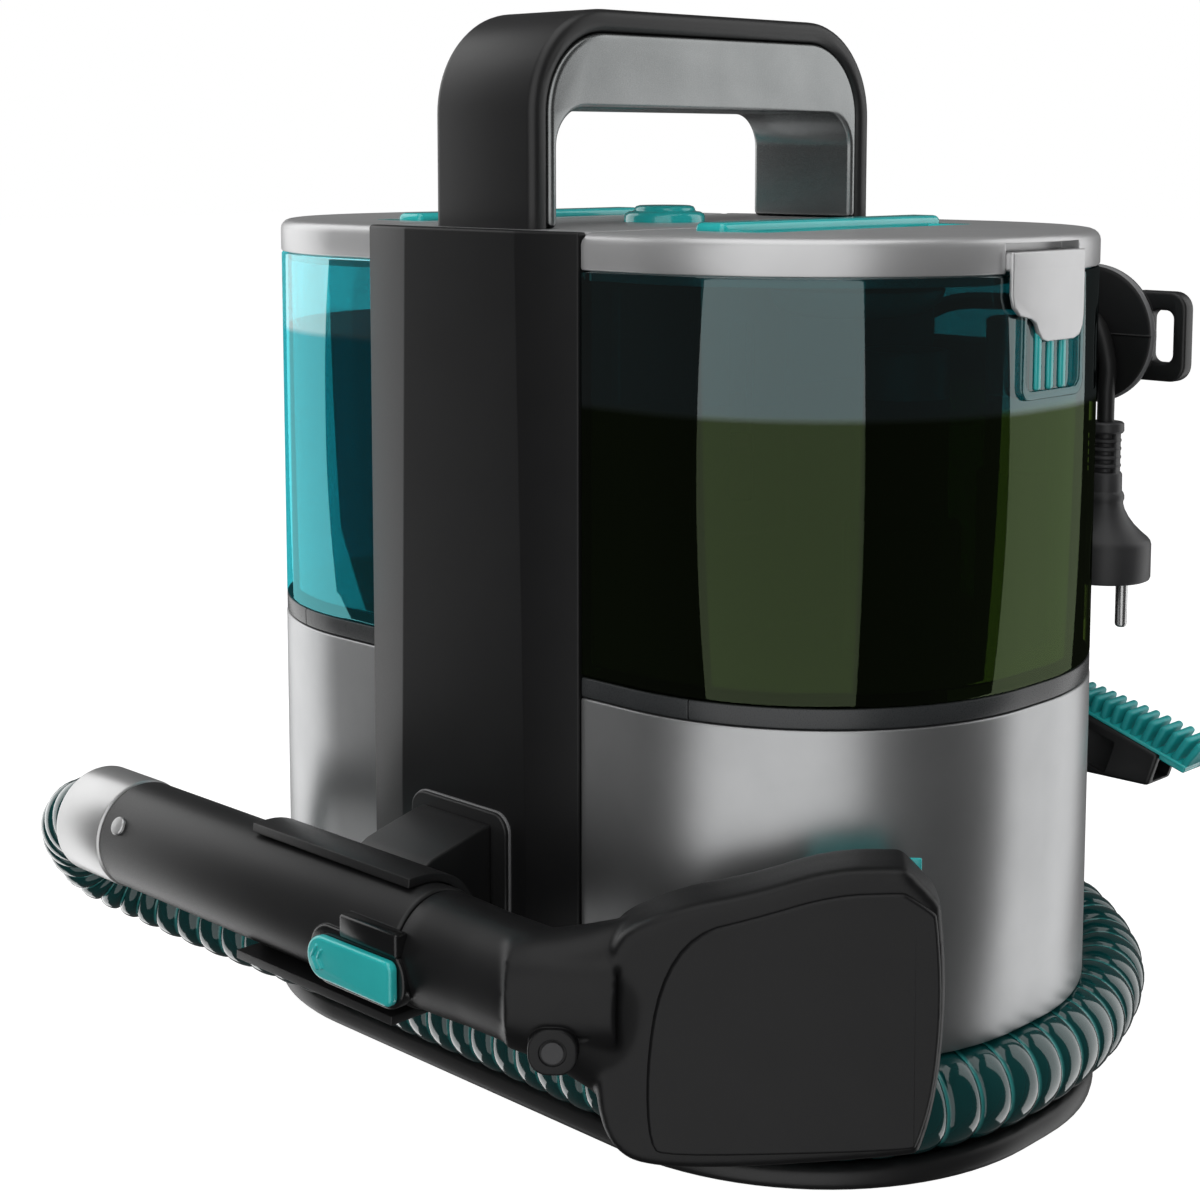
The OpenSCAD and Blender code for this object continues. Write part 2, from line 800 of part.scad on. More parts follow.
// Open tube with a bore: outer rings on the centres c, inner rings on the centres d
module bored_tube(c, radii, d, bore, sides, ref, first, last) {
    t = tangents(c, first, last);
    u = tangents(d, first, last);
    n = len(c);
    m = len(d);
    polyhedron(
        points = concat(
            [for (i = [0:n - 1]) each ring(c[i], t[i], radii[i], sides, ref)],
            [for (i = [0:m - 1]) each ring(d[i], u[i], bore, sides, ref)]),
        faces = concat(
            [for (i = [0:n - 2]) each band_faces(i, i + 1, sides, false)],
            [for (i = [n:n + m - 2]) each band_faces(i, i + 1, sides, true)],
            band_faces(0, n, sides, true),
            band_faces(n - 1, n + m - 1, sides, false)));
}

// Places along the suction hose, from the hand tool round the base to its port
hose_points = [[-132.5, -160, 79], [-166, -160, 79], [-188, -154, 68], [-194, -140, 50],
    [-180, -124, 38], [-150, -112, 30], [-112, -104, 26], [-72, -102, 26], [-36, -102, 26],
    [0, -102, 26], [36, -102, 26], [70, -102, 26], [104, -97, 26], [136, -82, 26], [159, -56, 26],
    [170, -20, 26], [170, 20, 26], [162, 60, 26], [146, 97, 29], [122, 116, 35], [98, 123, 40],
    [76, 126, 43], [40, 130, 44], [4, 131, 44], [-32, 130, 44], [-67, 127, 44],
    [-102, 121, 44], [-136, 109, 44], [-167, 89, 44], [-189, 60, 44], [-197, 25, 44],
    [-197, -9, 44]];
base_point = 5;
// Place moved with the base's width and depth
function beside_base(p) = [p[0] * body_w / 352, p[1] * body_d / 206, p[2]];
hose_route = [for (i = [0:len(hose_points) - 1])
    i < base_point ? hose_points[i] : beside_base(hose_points[i])];
ribs_per_span = 3;
hose_spans = len(hose_route) - 1;
hose_ribs = ribs_per_span * hose_spans;
rib_depth = 2.6;
hose_bore = 12.5;

// Corrugated suction hose: each rib is a crest ring and a valley ring
module suction_hose() {
    steps = 2 * hose_ribs;
    c = [for (i = [0:steps]) on_route(hose_route, i / (2 * ribs_per_span))];
    d = [for (i = [0:hose_ribs]) on_route(hose_route, i / ribs_per_span)];
    radii = [for (i = [0:steps]) hose_d / 2 - (i % 2 == 0 ? rib_depth : 0)];
    color(teal, 0.6) bored_tube(c, radii, d, hose_bore, 8, [0, 0, 1], [-1, 0, 0], [0, -1, 0]);
}

port_wall = 2.5;
port_l = 22;
port_end = hose_route[hose_spans];

// Socket on the left of the body where the hose ends
module hose_port() {
    r = hose_d / 2 + 0.8;
    color(black) translate([port_end[0], 0, port_end[2]]) difference() {
        union() {
            rod_y(r + port_wall, port_end[1] - 4, port_end[1] + port_l);
            translate([0, port_end[1] - 4, -14])
                cube([-body_w / 2 - port_end[0] - gap, 20, 28]);
        }
        rod_y(r, port_end[1], port_end[1] + port_l + 1);
        rod_y(hose_bore, port_end[1] - 2, port_end[1] + 1);
    }
}

clip_places = [beside_base([84, 124.6, 42.2]), beside_base([-84, 125.5, 44])];

// Two hooks on the back that carry the hose
module hose_clips() {
    color(black) for (c = clip_places) {
        low = c[2] - hose_d / 2 - 0.4;
        translate([c[0] - 7, rear_y + 0.2, low - 3]) cube([14, c[1] + hose_d / 2 - rear_y + 3, 3]);
        translate([c[0] - 7, rear_y + 0.2, low - 3]) cube([14, 2.2, 38]);
        translate([c[0] - 7, c[1] + hose_d / 2 + 0.8, low - 3]) cube([14, 2.4, 12]);
    }
}

hank_x = -30;
hank_top = 262;
hank_low = 105;
hank_r = 14;
hank_pitch = 7.6;
hank_y = spine_y + 5;
hank_loops = 10;
hank_half = (hank_top - hank_low) / 2;
hank_mid = (hank_top + hank_low) / 2;
layer_turns = 2.5;

// Spiral that winds in and out: turns away from the innermost one
function winding(t) = abs(layer_turns - t % (2 * layer_turns));
// Layer at t turns, with each climb spread over the run about the reversal
function layer_at(t) =
    let (k = floor(t / layer_turns), f = t - k * layer_turns, c = 0.085)
    k + (k < 3 && f > layer_turns - c ? lerp(0, 0.5, (f - layer_turns + c) / c) : 0)
      - (k > 0 && f < c ? lerp(0.5, 0, f / c) : 0);
// Point at step i of the hank, 24 to a loop
function hank_point(i) =
    let (t = i / 24, half = floor(i / 12), j = i - 12 * half, s = half % 2 == 0 ? 1 : -1,
        r = hank_r + hank_pitch * winding(t), a = 22.5 * (j - 2),
        x = j < 2 ? r : (j > 10 ? -r : r * cos(a)),
        z = j < 2 ? hank_half * 0.6 * j : (j > 10 ? hank_half * 0.6 : hank_half + r * sin(a)))
    [hank_x + s * x, hank_y + hank_pitch * layer_at(t), hank_mid + s * z];
hank_points = [for (i = [0:24 * hank_loops]) hank_point(i)];

// Distance between two segments, sampled at thirds
function seg_gap(p, i, j) = min([for (u = [0:0.34:1], v = [0:0.34:1])
    norm(lerp(p[i], p[i + 1], u) - lerp(p[j], p[j + 1], v))]);
hank_gap = min([for (i = [0:len(hank_points) - 2])
    min([for (d = [16:1:76]) i + d > len(hank_points) - 2 ? 1000 : seg_gap(hank_points, i, i + d)])]) - cord_d;
echo(hank_least_gap = hank_gap);

// Power cord wound on the two rear hooks
module power_hank() {
    color(black) solid_tube(hank_points, [for (p = hank_points) cord_d / 2], 6, [0, 1, 0]);
}

lead_route = [[3, 114, 97], [3, 114, 125], [3, 114, 155], hank_points[0]];

// Straight lead from the inlet up to the hank
module power_lead() {
    color(black) solid_tube(lead_route, [for (p = lead_route) cord_d / 2], 8, [0, 1, 0]);
}

tail_route = [hank_points[24 * hank_loops], [3.4, 137, 205], [5, 137, 228], [10, 136, 252],
    [22, 135, 273], [42, 134, 284], [68, 134, 286.2], [98, 134, 286.2], [113, 134, 280],
    [119, 134, 265], [119, 134, 252], [119, 134, 240]];
tail_steps = 2 * (len(tail_route) - 1);

// Tail from the hank over the drum behind the disc, down to the plug
module power_tail() {
    c = [for (i = [0:tail_steps]) on_route(tail_route, i / 2)];
    color(black) solid_tube(c, [for (p = c) cord_d / 2], 8, [0, 1, 0], [0, 0, 1], [0, 0, -1]);
}

gland_z0 = 62;

// Cord inlet on the rear cover with its tapered strain relief
module cord_gland() {
    color(black) {
        translate([gland_x - 8, spine_y, gland_z0]) cube([16, 11, 12]);
        translate([gland_x, hank_y, gland_z0 + 12]) cylinder(r1 = 4.8, r2 = 4.2, h = 23, $fn = 48);
    }
}

peg_r = hank_r - cord_d / 2 - 0.3;
peg_end = hank_y + 3 * hank_pitch + cord_d / 2 + 1.5;
drum_x = 98;
drum_z = 265;
drum_r = 16.6;

// Two pegs for the wound cord, and the arm and drum that the tail passes over
module cord_hooks() {
    color(black) {
        for (z = [hank_low, hank_top]) translate([hank_x, 0, z]) {
            rod_y(peg_r, spine_y, peg_end);
            rod_y(peg_r + 8, peg_end, peg_end + 3);
        }
        translate([26, spine_y, drum_z - 10]) cube([drum_x - 26, 21, 16]);
        translate([drum_x, 0, drum_z]) rod_y(drum_r, spine_y + 14, disc_y);
    }
}

disc_x = 108.5;
disc_y = spine_y + 29.5;
disc_z = 275;
disc_r = 28;

// Round disc with its D-shaped pull, on the end of the drum
module cord_hook_disc() {
    color(black) translate([disc_x, disc_y, disc_z]) {
        rod_y(disc_r, 0, 4.5);
        difference() {
            translate([12, 4, -18]) cube([28, 7, 36]);
            translate([24, 3, -10.5]) cube([10.5, 9, 21]);
        }
    }
}

plug_x = 119;
plug_y = spine_y + 25;
plug_top = 240;
plug_pin_z = 176;

// Moulded plug: ribbed strain relief, neck, bell and face
module plug_body() {
    color("#2b2b2d") translate([plug_x, plug_y, 0]) rotate_extrude($fn = 96) polygon([
        [0, plug_top], [6.5, plug_top], [7.6, plug_top - 1.5], [7.6, plug_top - 4], [6, plug_top - 5],
        [6, plug_top - 18], [7, plug_top - 19], [7, plug_top - 28], [8, plug_top - 33],
        [11, plug_top - 39], [15, plug_top - 44], [19.4, plug_top - 48], [19.4, plug_pin_z],
        [0, plug_pin_z]]);
}

// Two round pins
module plug_pins() {
    color("silver") for (s = [-1, 1]) translate([plug_x + 9.5 * s, plug_y, plug_pin_z - 19])
        cylinder(r = 2.4, h = 19, $fn = 32);
}

crevice_at = [15.2, spine_y + 26, 146.3];
crevice_tilt = 18;
socket_l = 60;
socket_r = 22;
socket_bore = 18;
blade_l = 81;
blade_end = socket_l + blade_l;

// Places its children along the stowed crevice tool
module at_crevice() {
    translate(crevice_at) rotate([0, crevice_tilt, 0]) children();
}

// Bracket and peg on the back that hold the crevice tool by its socket
module crevice_holder() {
    color(black) {
        translate([crevice_at[0] - 6.3, spine_y, crevice_at[2] - 0.5]) cube([5, 44, 22]);
        difference() {
            at_crevice() rod_x(socket_bore - 0.4, -6, 26);
            translate([crevice_at[0] - 60, spine_y, 100]) cube([54, 100, 100]);
        }
    }
}

// Socket and hollow blade of the crevice tool
module crevice_body() {
    color(black) at_crevice() difference() {
        union() {
            rod_x(socket_r, 0, socket_l);
            translate([0, 9, 0]) rotate([90, 0, 0]) linear_extrude(18)
                polygon([[40, -13], [96, -22], [blade_end, -7], [blade_end, 7], [40, 7]]);
        }
        rod_x(socket_bore, -1, 42);
        rod_x(7, 40, socket_l + 20);
        translate([socket_l + 46, -6, -5.5]) cube([blade_l, 12, 10.5]);
    }
}

// Two rows of tufts along the blade's upper edge
module crevice_brush() {
    color(teal) at_crevice() {
        translate([socket_l + 20, -8, 7]) cube([73, 16, 1.5]);
        translate([blade_end, -8, 5.3]) cube([12, 16, 3.2]);
        for (k = [0:10], y = [-4, 4]) translate([socket_l + 24 + 6.4 * k, y, 8])
            cylinder(r = 2.4, h = 4 + 0.75 * k, $fn = 32);
    }
}

base_tray();
rubber_feet();
base_screws();
chassis_deck();
lower_shell_left();
lower_shell_right();
spine_core();
spine_front_cover();
spine_rear_cover();
spine_top();
handle_outer_shell();
handle_grip_shell();
handle_screws();
dock_plate();
dock_cradle();
motor();
fan_rotor();
fan_housing();
suction_duct();
pump();
circuit_board();
clean_valve_seat();
hose_port();
hose_clips();
cord_hook_disc();
cord_hooks();
cord_gland();
crevice_holder();
power_lead();
power_hank();
power_tail();
plug_body();
plug_pins();
suction_hose();
clean_tank();
clean_band();
clean_lid();
clean_bail();
clean_outlet_valve();
dirty_tank();
dirty_band();
dirty_lid();
dirty_bail();
dirty_latch();
dirty_inlet_tube();
float_cage();
float();
power_button();
tool_collar();
tool_tube();
tool_sleeve();
tool_trigger();
tool_latch();
nozzle_neck();
nozzle_shell();
nozzle_cover();
nozzle_brush();
neck_screw();
crevice_body();
crevice_brush();
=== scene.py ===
"""Spot extractor: materials, fine shapes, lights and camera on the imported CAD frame."""
import math

import bmesh
import bpy
from mathutils import Matrix, Vector


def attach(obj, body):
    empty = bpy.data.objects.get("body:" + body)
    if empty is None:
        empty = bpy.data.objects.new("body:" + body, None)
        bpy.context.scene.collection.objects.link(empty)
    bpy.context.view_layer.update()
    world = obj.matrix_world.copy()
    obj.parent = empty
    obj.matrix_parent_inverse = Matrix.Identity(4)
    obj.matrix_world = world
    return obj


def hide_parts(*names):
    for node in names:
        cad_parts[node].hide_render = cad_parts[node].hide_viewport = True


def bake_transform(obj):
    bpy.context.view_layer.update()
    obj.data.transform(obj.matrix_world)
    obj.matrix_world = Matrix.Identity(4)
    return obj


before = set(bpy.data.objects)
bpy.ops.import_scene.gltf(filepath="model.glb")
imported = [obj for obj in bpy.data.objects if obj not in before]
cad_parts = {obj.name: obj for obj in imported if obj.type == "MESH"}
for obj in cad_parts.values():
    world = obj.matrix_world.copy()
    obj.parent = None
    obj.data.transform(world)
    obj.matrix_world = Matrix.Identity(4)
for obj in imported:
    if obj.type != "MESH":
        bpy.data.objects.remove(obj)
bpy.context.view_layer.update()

MM = 0.001
scene = bpy.context.scene

# Sizes and places repeated from the part, in millimetres and degrees
BODY_W, BODY_D, BODY_R = 352.0, 206.0, 96.0
LID_TOP = 321.0
SPINE_W, SPINE_Y = 112.0, 109.0
LOBE_X = SPINE_W / 2 + 0.5
TOOL_Z, DOCK_Y = 79.0, -160.0
BEND_X, HEAD_TURN = 96.5, 42.0
HOSE_D, CORD_D = 33.0, 7.0
WELL_X, WALL = 118.0, 2.6
CLEAN_LEVEL, DIRTY_LEVEL = 277.0, 261.0

NOISE_LOW, NOISE_HIGH = 0.3, 0.7    # most of a noise lies between these
DRIFT = 45.0                        # slow colour drift, in features per metre
EDGE_SOFT = 0.0006                  # radius of the softened edges, in metres
LEVEL_BLUR = 1.2                    # half the height over which a wall turns from dry to wet
SHARP = 35.0                        # edges over this angle stay crisp, in degrees
AXIS_R = 0.01                       # least radius of a turned piece's point
LOBE_STEPS, PLAN_STEPS, CORNER_STEPS = 28, 24, 8


# ---- materials

def new_material(name):
    """A material with its node tree and its Principled node."""
    mat = bpy.data.materials.new(name)
    mat.use_nodes = True
    tree = mat.node_tree
    return mat, tree, tree.nodes["Principled BSDF"]


def fill(tree, node, **inputs):
    """Fills a node's inputs, _ for each space: a socket is linked, anything else is a value."""
    for key, value in inputs.items():
        socket = node.inputs[key.replace("_", " ")]
        if isinstance(value, bpy.types.NodeSocket):
            tree.links.new(value, socket)
        else:
            socket.default_value = value
    return node


def add_node(tree, kind, **inputs):
    """New node with its inputs filled."""
    return fill(tree, tree.nodes.new(kind), **inputs)


def add_noise(tree, scale, detail):
    """Noise in object coordinates; scale is in features per metre."""
    coords = add_node(tree, "ShaderNodeTexCoord")
    return add_node(tree, "ShaderNodeTexNoise", Scale=scale, Detail=detail,
                    Vector=coords.outputs["Object"]).outputs["Fac"]


def map_range(tree, source, low, high, from_low=0.0, from_high=1.0):
    """Maps from_low..from_high to low..high."""
    return add_node(tree, "ShaderNodeMapRange", Value=source, From_Min=from_low,
                    From_Max=from_high, To_Min=low, To_Max=high).outputs["Result"]


def spread(tree, noise, low, high):
    """Spreads a noise over low..high."""
    return map_range(tree, noise, low, high, NOISE_LOW, NOISE_HIGH)


def two_tone(tree, source, first, second, start=NOISE_LOW, end=NOISE_HIGH):
    """Colour that runs from first to second as the source goes from start to end."""
    ramp = add_node(tree, "ShaderNodeValToRGB", Fac=source)
    stops = ramp.color_ramp.elements
    for stop, place, colour in ((stops[0], start, first), (stops[1], end, second)):
        stop.position = place
        stop.color = (*colour, 1.0)
    return ramp.outputs["Color"]


def scaled(tree, colour, factor):
    """Colour times a factor."""
    node = tree.nodes.new("ShaderNodeVectorMath")
    node.operation = "SCALE"
    tree.links.new(colour, node.inputs[0])
    tree.links.new(factor, node.inputs["Scale"])
    return node.outputs["Vector"]


def add_shaders(tree, first, second):
    """Sum of two shaders."""
    both = tree.nodes.new("ShaderNodeAddShader")
    tree.links.new(first, both.inputs[0])
    tree.links.new(second, both.inputs[1])
    return both.outputs["Shader"]


def mixed(tree, factor, first, second, blend="MIX"):
    """Mix of two colours."""
    mix = add_node(tree, "ShaderNodeMix")
    mix.data_type = "RGBA"
    mix.blend_type = blend
    return fill(tree, mix, Factor=factor, A=first, B=second).outputs["Result"]


def see_through(tree, tint, mirror):
    """Ends a clear material: light passes through the tint, and the mirror adds its gloss."""
    clear = add_node(tree, "ShaderNodeBsdfTransparent", Color=tint)
    shader = add_shaders(tree, clear.outputs["BSDF"], mirror.outputs["BSDF"])
    fill(tree, tree.nodes["Material Output"], Surface=shader)


def moulded(name, dark, light, rough, grain=0.00004, grain_scale=2600.0, metal=0.0, coat=0.0,
            specular=0.5):
    """Moulded or painted surface: slow colour drift, fine grain and softened edges."""
    mat, tree, bsdf = new_material(name)
    slow = add_noise(tree, DRIFT, 4.0)
    fine = add_noise(tree, grain_scale, 2.0)
    soft = add_node(tree, "ShaderNodeBevel", Radius=EDGE_SOFT)
    soft.samples = 4
    bump = add_node(tree, "ShaderNodeBump", Strength=0.5, Distance=grain, Height=fine,
                    Normal=soft.outputs["Normal"])
    fill(tree, bsdf, Base_Color=two_tone(tree, slow, dark, light),
         Roughness=spread(tree, fine, *rough), Metallic=metal, Specular_IOR_Level=specular,
         Coat_Weight=coat, Coat_Roughness=0.06, Normal=bump.outputs["Normal"])
    return mat


def clear_tank(name, level, dry, wet, edge):
    """Tinted clear tank wall; dry and wet give its tint and mirror colours beside the level.

    Where the wall is seen edge-on its tint is scaled by edge.
    """
    mat, tree, bsdf = new_material(name)
    tree.nodes.remove(bsdf)
    coords = add_node(tree, "ShaderNodeTexCoord")
    height = add_node(tree, "ShaderNodeSeparateXYZ", Vector=coords.outputs["Object"])
    wetness = map_range(tree, height.outputs["Z"], 0.0, 1.0,
                        (level + LEVEL_BLUR) * MM, (level - LEVEL_BLUR) * MM)
    tint, mirror_colour = [mixed(tree, wetness, (*dry_colour, 1.0), (*wet_colour, 1.0))
                           for dry_colour, wet_colour in zip(dry, wet)]
    slant = add_node(tree, "ShaderNodeLayerWeight", Blend=0.25)
    gain = map_range(tree, slant.outputs["Facing"], 0.85, 2.6)
    dimming = map_range(tree, slant.outputs["Facing"], 1.0, edge, 0.38, 0.64)
    mirror = add_node(tree, "ShaderNodeBsdfGlossy", Color=scaled(tree, mirror_colour, gain),
                      Roughness=spread(tree, add_noise(tree, 12.0, 2.0), 0.015, 0.03))
    see_through(tree, scaled(tree, tint, dimming), mirror)
    return mat


def liquid_look(name, tint, sheen, depth):
    """Cloudy liquid with a faint sheen; depth scales the tint of its far side."""
    mat, tree, bsdf = new_material(name)
    tree.nodes.remove(bsdf)
    dim = tuple(0.8 * c for c in tint)
    cloudy = two_tone(tree, add_noise(tree, 16.0, 3.0), dim, tint)
    facing = add_node(tree, "ShaderNodeNewGeometry")
    dimming = map_range(tree, facing.outputs["Backfacing"], 1.0, depth)
    gloss = add_node(tree, "ShaderNodeBsdfGlossy", Color=(*sheen, 1.0), Roughness=0.05)
    see_through(tree, scaled(tree, cloudy, dimming), gloss)
    return mat


BLACK = moulded("black_satin", (0.0105, 0.0105, 0.011), (0.0135, 0.0135, 0.014), (0.36, 0.46))
BLACK_FACE = moulded("black_face", (0.008, 0.008, 0.0085), (0.010, 0.010, 0.0105), (0.34, 0.42),
                     specular=0.3)
BLACK_GLOSS = moulded("black_gloss", (0.006, 0.006, 0.0065), (0.009, 0.009, 0.0095), (0.12, 0.2))
HEAD_BLACK = moulded("head_black", (0.0075, 0.0075, 0.008), (0.0095, 0.0095, 0.010), (0.36, 0.44),
                     0.00003, 2200.0, specular=0.28)
SILVER = moulded("silver_paint", (0.42, 0.425, 0.43), (0.46, 0.465, 0.47), (0.32, 0.38),
                 0.00001, 5200.0, metal=0.92)
LID_SILVER = moulded("lid_silver", (0.62, 0.62, 0.625), (0.66, 0.66, 0.665), (0.32, 0.38),
                     0.00001, 5200.0, metal=0.6)
# Darker copy of the silver: painted shade for the grip on the handle's underside.
GRIP_SILVER_PAINTED_SHADE = moulded("grip_silver_painted_shade", (0.25, 0.26, 0.26), (0.29, 0.30, 0.30), (0.24, 0.29),
                      0.000008, 5200.0, metal=0.95)
COLLAR = moulded("collar_silver", (0.60, 0.60, 0.60), (0.65, 0.65, 0.65), (0.3, 0.36),
                 0.00001, 5200.0, metal=0.75)
TEAL = moulded("teal_gloss", (0.03, 0.60, 0.60), (0.04, 0.68, 0.67), (0.16, 0.22),
               0.000006, 1800.0, coat=0.6)
BRISTLE = moulded("teal_bristle", (0.02, 0.44, 0.45), (0.03, 0.58, 0.58), (0.35, 0.5), 0.00002)
BAND = moulded("band_grey", (0.035, 0.038, 0.040), (0.045, 0.048, 0.05), (0.25, 0.33))
INNER = moulded("inner_black", (0.006, 0.008, 0.008), (0.010, 0.012, 0.012), (0.3, 0.45))
COLUMN = moulded("inner_column", (0.07, 0.085, 0.08), (0.09, 0.105, 0.10), (0.3, 0.4))
INNER_TEAL = moulded("inner_teal", (0.02, 0.34, 0.34), (0.03, 0.42, 0.42), (0.2, 0.3))
RUBBER = moulded("rubber_black", (0.014, 0.014, 0.0145), (0.02, 0.02, 0.02), (0.55, 0.7), 0.00006)
CORD_BLACK = moulded("cord_black", (0.012, 0.012, 0.0125), (0.016, 0.016, 0.0165), (0.42, 0.52))
PLUG_GREY = moulded("plug_grey", (0.045, 0.045, 0.047), (0.055, 0.055, 0.058), (0.4, 0.5))
STEEL = moulded("steel", (0.5, 0.5, 0.5), (0.58, 0.58, 0.58), (0.22, 0.32), metal=1.0)
MOTOR = moulded("motor_metal", (0.28, 0.28, 0.28), (0.34, 0.34, 0.34), (0.35, 0.5), metal=0.9)
WHITE_VALVE = moulded("valve_white", (0.6, 0.61, 0.61), (0.68, 0.69, 0.69), (0.3, 0.4))
FLOAT = moulded("float_orange", (0.62, 0.22, 0.05), (0.7, 0.27, 0.07), (0.35, 0.45))
BOARD = moulded("board_green", (0.01, 0.11, 0.045), (0.015, 0.14, 0.055), (0.3, 0.4))
# Light grey for the rims of black parts: a painted highlight along their rounded edges.
PAINTED_EDGE_HIGHLIGHT = moulded("painted_edge_highlight", (0.20, 0.20, 0.205), (0.25, 0.25, 0.255), (0.3, 0.4))
CLEAN_WALL = clear_tank("clean_tank_clear", CLEAN_LEVEL, ((0.22, 0.62, 0.65), (0.16, 0.20, 0.20)),
                        ((0.16, 0.58, 0.62), (0.04, 0.14, 0.15)), 1.0)
CLEAN_WATER = liquid_look("clean_water", (0.06, 0.40, 0.46), (0.004, 0.02, 0.02), 0.5)
DIRTY_WALL = clear_tank("dirty_tank_clear", DIRTY_LEVEL, ((0.14, 0.42, 0.44), (0.085, 0.10, 0.10)),
                        ((0.40, 0.52, 0.20), (0.025, 0.032, 0.018)), 0.02)
DIRTY_WATER = liquid_look("dirty_water", (0.30, 0.42, 0.05), (0.002, 0.004, 0.001), 0.08)


def hose_material():
    """Clear dark teal hose; the groove attribute picks out the lighter rings."""
    mat, tree, bsdf = new_material("hose_teal")
    groove = add_node(tree, "ShaderNodeAttribute")
    groove.attribute_name = "groove"
    rings = two_tone(tree, groove.outputs["Fac"], (0.005, 0.085, 0.085), (0.07, 0.52, 0.50),
                     0.35, 0.9)
    cloudy = two_tone(tree, add_noise(tree, 60.0, 2.0), (0.6, 0.75, 0.75), (1.0, 1.0, 1.0))
    fill(tree, bsdf, Base_Color=mixed(tree, 0.5, rings, cloudy, "MULTIPLY"), Roughness=0.12,
         Transmission_Weight=0.25, IOR=1.3, Coat_Weight=1.0, Coat_IOR=1.45, Coat_Roughness=0.02)
    return mat


HOSE = hose_material()


# ---- mesh helpers

def add_object(name, data):
    """Puts a mesh, light or camera in the scene as an object."""
    obj = bpy.data.objects.new(name, data)
    scene.collection.objects.link(obj)
    return obj


def smooth(mesh, sharp=SHARP):
    """Smooth shading; edges over the sharp angle stay crisp."""
    mesh.polygons.foreach_set("use_smooth", [True] * len(mesh.polygons))
    mesh.set_sharp_from_angle(angle=math.radians(sharp))


def solid(name, points, faces, material, sharp=SHARP):
    """Mesh piece from points in millimetres."""
    mesh = bpy.data.meshes.new(name)
    mesh.from_pydata([Vector(p) * MM for p in points], [], faces)
    mesh.validate()
    smooth(mesh, sharp)
    mesh.materials.append(material)
    mesh.update()
    return add_object(name, mesh)


def skin_faces(count, rings):
    """Quads that join rings of count points each."""
    faces = []
    for r in range(rings - 1):
        a, b = r * count, (r + 1) * count
        for k in range(count):
            n = (k + 1) % count
            faces.append((a + k, a + n, b + n, b + k))
    return faces


def loft(name, rings, material, sharp=SHARP, capped=True):
    """Skin through rings of points, closed at both ends where it is capped."""
    count = len(rings[0])
    faces = skin_faces(count, len(rings))
    if capped:
        last = (len(rings) - 1) * count
        faces.append(tuple(reversed(range(count))))
        faces.append(tuple(range(last, last + count)))
    return solid(name, [p for ring in rings for p in ring], faces, material, sharp)


def bake(obj):
    """Replaces the mesh by its evaluated form and drops the modifiers."""
    graph = bpy.context.evaluated_depsgraph_get()
    mesh = bpy.data.meshes.new_from_object(obj.evaluated_get(graph))
    obj.modifiers.clear()
    obj.data = mesh


def bevel(obj, width, segments, angle=30.0):
    """Rounds the edges that are sharper than the angle; width in millimetres."""
    mod = obj.modifiers.new("bevel", "BEVEL")
    mod.width = width * MM
    mod.segments = segments
    mod.limit_method = "ANGLE"
    mod.angle_limit = math.radians(angle)
    mod.use_clamp_overlap = True
    mod.harden_normals = False
    bake(obj)
    smooth(obj.data)
    return obj


def cut(obj, tool):
    """Cuts the tool, which is removed, out of a piece."""
    mod = obj.modifiers.new("cut", "BOOLEAN")
    mod.object = tool
    mod.operation = "DIFFERENCE"
    mod.solver = "EXACT"
    bake(obj)
    mesh = tool.data
    bpy.data.objects.remove(tool)
    bpy.data.meshes.remove(mesh)
    smooth(obj.data)
    return obj


def join(name, parts):
    """One object from several, with their materials kept."""
    bm = bmesh.new()
    materials = []
    for part in parts:
        slots = []
        for m in part.data.materials:
            if m not in materials:
                materials.append(m)
            slots.append(materials.index(m))
        start = len(bm.faces)
        part.data.transform(part.matrix_world)
        bm.from_mesh(part.data)
        bm.faces.ensure_lookup_table()
        for f in bm.faces[start:]:
            f.material_index = slots[min(f.material_index, len(slots) - 1)]
    mesh = bpy.data.meshes.new(name)
    bm.to_mesh(mesh)
    bm.free()
    for m in materials:
        mesh.materials.append(m)
    for part in parts:
        old = part.data
        bpy.data.objects.remove(part)
        bpy.data.meshes.remove(old)
    return add_object(name, mesh)


def shift(obj, matrix):
    """Moves and turns the mesh of a piece by a matrix in millimetres."""
    scale = Matrix.Diagonal((MM, MM, MM, 1.0))
    obj.data.transform(scale @ matrix @ scale.inverted())
    return obj


def at(x, y, z):
    """Matrix of a move."""
    return Matrix.Translation((x, y, z))


def rotation(degrees, axis):
    """Matrix of a turn about an axis."""
    return Matrix.Rotation(math.radians(degrees), 4, axis)


def move(obj, x, y, z):
    """Moves the mesh of a piece, in millimetres."""
    return shift(obj, at(x, y, z))


def block(name, low, high, material, round_by=0.0, segments=3):
    """Box between two corners with rounded edges."""
    x0, y0, z0 = low
    x1, y1, z1 = high
    points = [(x, y, z) for z in (z0, z1) for x, y in ((x0, y0), (x1, y0), (x1, y1), (x0, y1))]
    faces = [(3, 2, 1, 0), (4, 5, 6, 7), (0, 1, 5, 4), (1, 2, 6, 5), (2, 3, 7, 6), (3, 0, 4, 7)]
    obj = solid(name, points, faces, material)
    return bevel(obj, round_by, segments) if round_by else obj


def lathe(name, profile, material, count=64, sharp=SHARP, capped=True):
    """Turned piece about Z from (radius, height) pairs."""
    angles = [math.tau * k / count for k in range(count)]
    rings = []
    for radius, z in profile:
        r = max(radius, AXIS_R)
        rings.append([(r * math.cos(a), r * math.sin(a), z) for a in angles])
    return loft(name, rings, material, sharp, capped)


def along_x(obj, x=0.0, y=0.0, z=0.0):
    """Turns a Z-axis piece onto +X and moves it."""
    return shift(obj, at(x, y, z) @ rotation(90.0, "Y"))


def along_y(obj, x=0.0, y=0.0, z=0.0):
    """Turns a Z-axis piece onto +Y and moves it."""
    return shift(obj, at(x, y, z) @ rotation(-90.0, "X"))


